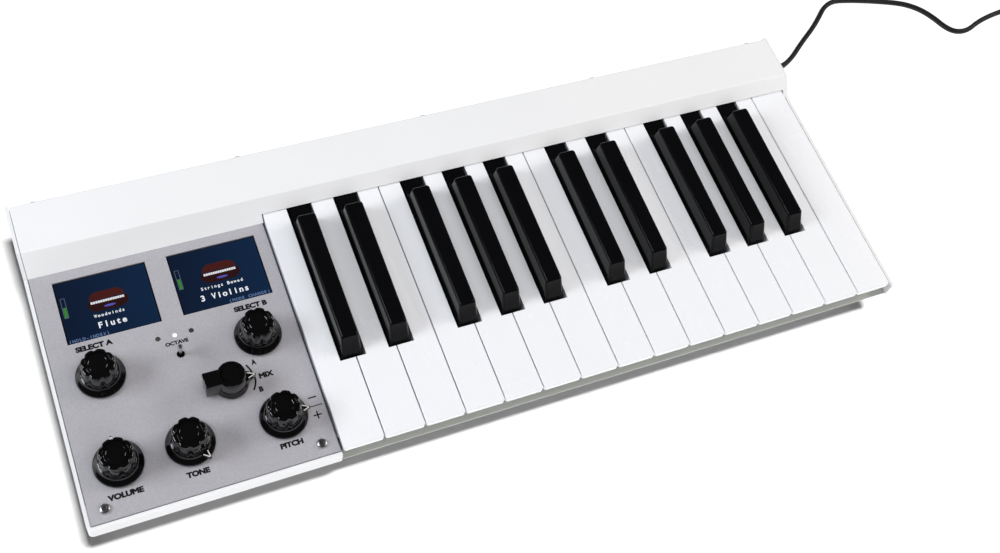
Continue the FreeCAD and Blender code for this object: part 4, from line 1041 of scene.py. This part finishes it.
# Words: text, left end, baseline, height, pitch between letters, in millimetres.
SCREEN_WORDS = {
    "a": (("Woodwinds", 16.7, 12.3, 1.9, 1.86, "bright"),
          ("Flute", 17.4, 5.7, 3.6, 3.2, "bright"),
          ("(HOLD-INDEX)", 0.9, 0.9, 1.8, 1.8, "dim")),
    "b": (("Strings Bowed", 12.9, 12.3, 1.9, 1.86, "bright"),
          ("3 Violins", 11.2, 5.8, 3.6, 3.08, "bright"),
          ("(MODE CHANGE)", 25.9, 1.1, 1.8, 1.8, "dim")),
}


class KEYBOARD_OT_screens(bpy.types.Operator):
    """Light the two screens"""
    bl_idname = "keyboard.screens"
    bl_label = "Screens"

    def execute(self, context):
        settings = context.scene.keyboard_screens
        bezel = satin_plastic("screen_bezel", tint(8, 8, 9), 0.15, 0.25, coat=0.4)
        self.bright = lit_colour("screen_lettering", settings.glow_colour)
        self.dim = lit_colour("screen_hints", settings.hint_colour)
        self.green = lit_colour("meter_green", settings.meter_colour)
        self.frame_line = lit_colour("meter_frame", tint(98, 112, 132))
        self.wood = lit_colour("picture_wood", tint(42, 17, 19), spread=0.3)
        self.lid = lit_colour("picture_lid", tint(68, 27, 25), spread=0.25)
        self.ivory = lit_colour("picture_keys", tint(226, 226, 230))
        self.shine = lit_colour("picture_shine", tint(82, 82, 170), spread=0.3)
        top = SCREEN_TOP / MM
        for letter, corner in SCREEN_CORNERS.items():
            finish_node(f"display_{letter}", bezel)
            left = PANEL_LOW.x / MM + corner[0]
            front = PANEL_LOW.y / MM + corner[1]
            edge = settings.edge / MM
            lit = lit_backdrop(f"screen_glass_{letter}", settings.low_colour,
                               settings.high_colour, left * MM, SCREEN_WIDTH * MM)
            shape = bmesh.new()
            right, back = left + SCREEN_WIDTH - edge, front + SCREEN_DEPTH - edge
            slab(shape, [(left + edge, front + edge), (right, front + edge), (right, back),
                         (left + edge, back)], top, top + GLASS)
            piece_from(shape, f"screen_light_{letter}", lit, "base")
            for draw in (self.draw_words, self.draw_meter, self.draw_picture):
                draw(letter, left, front, top + GLASS)
        return {"FINISHED"}

    def draw_words(self, letter, left, front, level):
        for tone, finish in (("bright", self.bright), ("dim", self.dim)):
            shape = bmesh.new()
            for text, start, base, height, pitch, kind in SCREEN_WORDS[letter]:
                if kind != tone:
                    continue
                for index, character in enumerate(text):
                    if character == " ":
                        continue
                    flat = lettering(character, height, 0.04 * height, 0.02)
                    wide = max(vertex.co.x for vertex in flat.vertices) / MM
                    if wide > pitch * 0.84:
                        flat.transform(Matrix.Diagonal((pitch * 0.84 / wide, 1.0, 1.0, 1.0)))
                        wide = pitch * 0.84
                    x = left + start + pitch * index + (pitch - wide) / 2
                    add_letters(shape, flat, Vector((x, front + base, level)) * MM)
            piece_from(shape, f"screen_{tone}_words_{letter}", finish, "base")

    def draw_meter(self, letter, left, front, level):
        shape = bmesh.new()
        low_x, high_x, low_y, high_y = left + 2.1, left + 4.3, front + 16.2, front + 28.3
        for start, end in (((low_x, low_y), (high_x, low_y)), ((high_x, low_y), (high_x, high_y)),
                           ((high_x, high_y), (low_x, high_y)), ((low_x, high_y), (low_x, low_y))):
            stroke(shape, start, end, 0.22, level, level + 0.03)
        piece_from(shape, f"meter_frame_{letter}", self.frame_line, "base")
        bars = bmesh.new()
        for step in range(8):
            base = low_y + 0.35 + 0.78 * step
            slab(bars, [(low_x + 0.3, base), (high_x - 0.3, base), (high_x - 0.3, base + 0.6),
                        (low_x + 0.3, base + 0.6)], level, level + 0.02)
        piece_from(bars, f"meter_bars_{letter}", self.green, "base")

    def draw_picture(self, letter, left, front, level):
        """A small picture of a console keyboard."""
        x, y = left + 26.0, front + 21.5
        body = bmesh.new()
        slab(body, [(x - 11.0, y - 2.0), (x - 9.5, y - 4.6), (x - 7.0, y - 5.8), (x + 7.0, y - 5.8),
                    (x + 9.5, y - 4.6), (x + 11.0, y - 2.0), (x + 10.6, y + 0.6),
                    (x - 10.6, y + 0.6)], level, level + 0.02)
        piece_from(body, f"picture_body_{letter}", self.wood, "base")
        lid = bmesh.new()
        slab(lid, [(x - 9.8, y + 1.2), (x + 9.8, y + 1.2), (x + 8.6, y + 4.4), (x + 6.0, y + 6.0),
                   (x - 6.0, y + 6.0), (x - 8.6, y + 4.4)], level, level + 0.02)
        piece_from(lid, f"picture_lid_{letter}", self.lid, "base")
        keys = bmesh.new()
        for step in range(14):
            start = x - 9.1 + 1.3 * step
            slab(keys, [(start, y - 0.9), (start + 1.1, y - 0.9), (start + 1.1, y + 0.5),
                        (start, y + 0.5)], level + 0.02, level + 0.04)
        piece_from(keys, f"picture_keys_{letter}", self.ivory, "base")
        glint = bmesh.new()
        slab(glint, ring_outline((x + 0.5, y - 3.6), 3.2, 0.7, 20), level + 0.02, level + 0.04)
        piece_from(glint, f"picture_shine_{letter}", self.shine, "base")


# ---- the add-on --------------------------------------------------------------------

OPERATORS = (
    KEYBOARD_OT_stage,
    KEYBOARD_OT_cord,
    KEYBOARD_OT_case,
    KEYBOARD_OT_works,
    KEYBOARD_OT_connectors,
    KEYBOARD_OT_keys,
    KEYBOARD_OT_panel,
    KEYBOARD_OT_fittings,
    KEYBOARD_OT_knobs,
    KEYBOARD_OT_screens,
)


class KEYBOARD_PT_sidebar(bpy.types.Panel):
    """The keyboard's settings and the pieces that they shape"""
    bl_idname = "KEYBOARD_PT_sidebar"
    bl_label = "Midi Keyboard"
    bl_space_type = "VIEW_3D"
    bl_region_type = "UI"
    bl_category = "Midi Keyboard"

    def draw(self, context):
        layout = self.layout
        for label, group in SETTINGS.items():
            box = layout.box()
            box.label(text=label.replace("keyboard_", "").capitalize())
            for name in group.__annotations__:
                box.prop(getattr(context.scene, label), name)
        for operator in OPERATORS:
            layout.operator(operator.bl_idname)


def register():
    for label, group in SETTINGS.items():
        bpy.utils.register_class(group)
        setattr(bpy.types.Scene, label, bpy.props.PointerProperty(type=group))
    for operator in OPERATORS:
        bpy.utils.register_class(operator)
    bpy.utils.register_class(KEYBOARD_PT_sidebar)


def unregister():
    bpy.utils.unregister_class(KEYBOARD_PT_sidebar)
    for operator in reversed(OPERATORS):
        bpy.utils.unregister_class(operator)
    for label, group in reversed(SETTINGS.items()):
        delattr(bpy.types.Scene, label)
        bpy.utils.unregister_class(group)


def main():
    register()
    for operator in OPERATORS:
        family, action = operator.bl_idname.split(".")
        getattr(getattr(bpy.ops, family), action)()


if __name__ == "__main__":
    main()
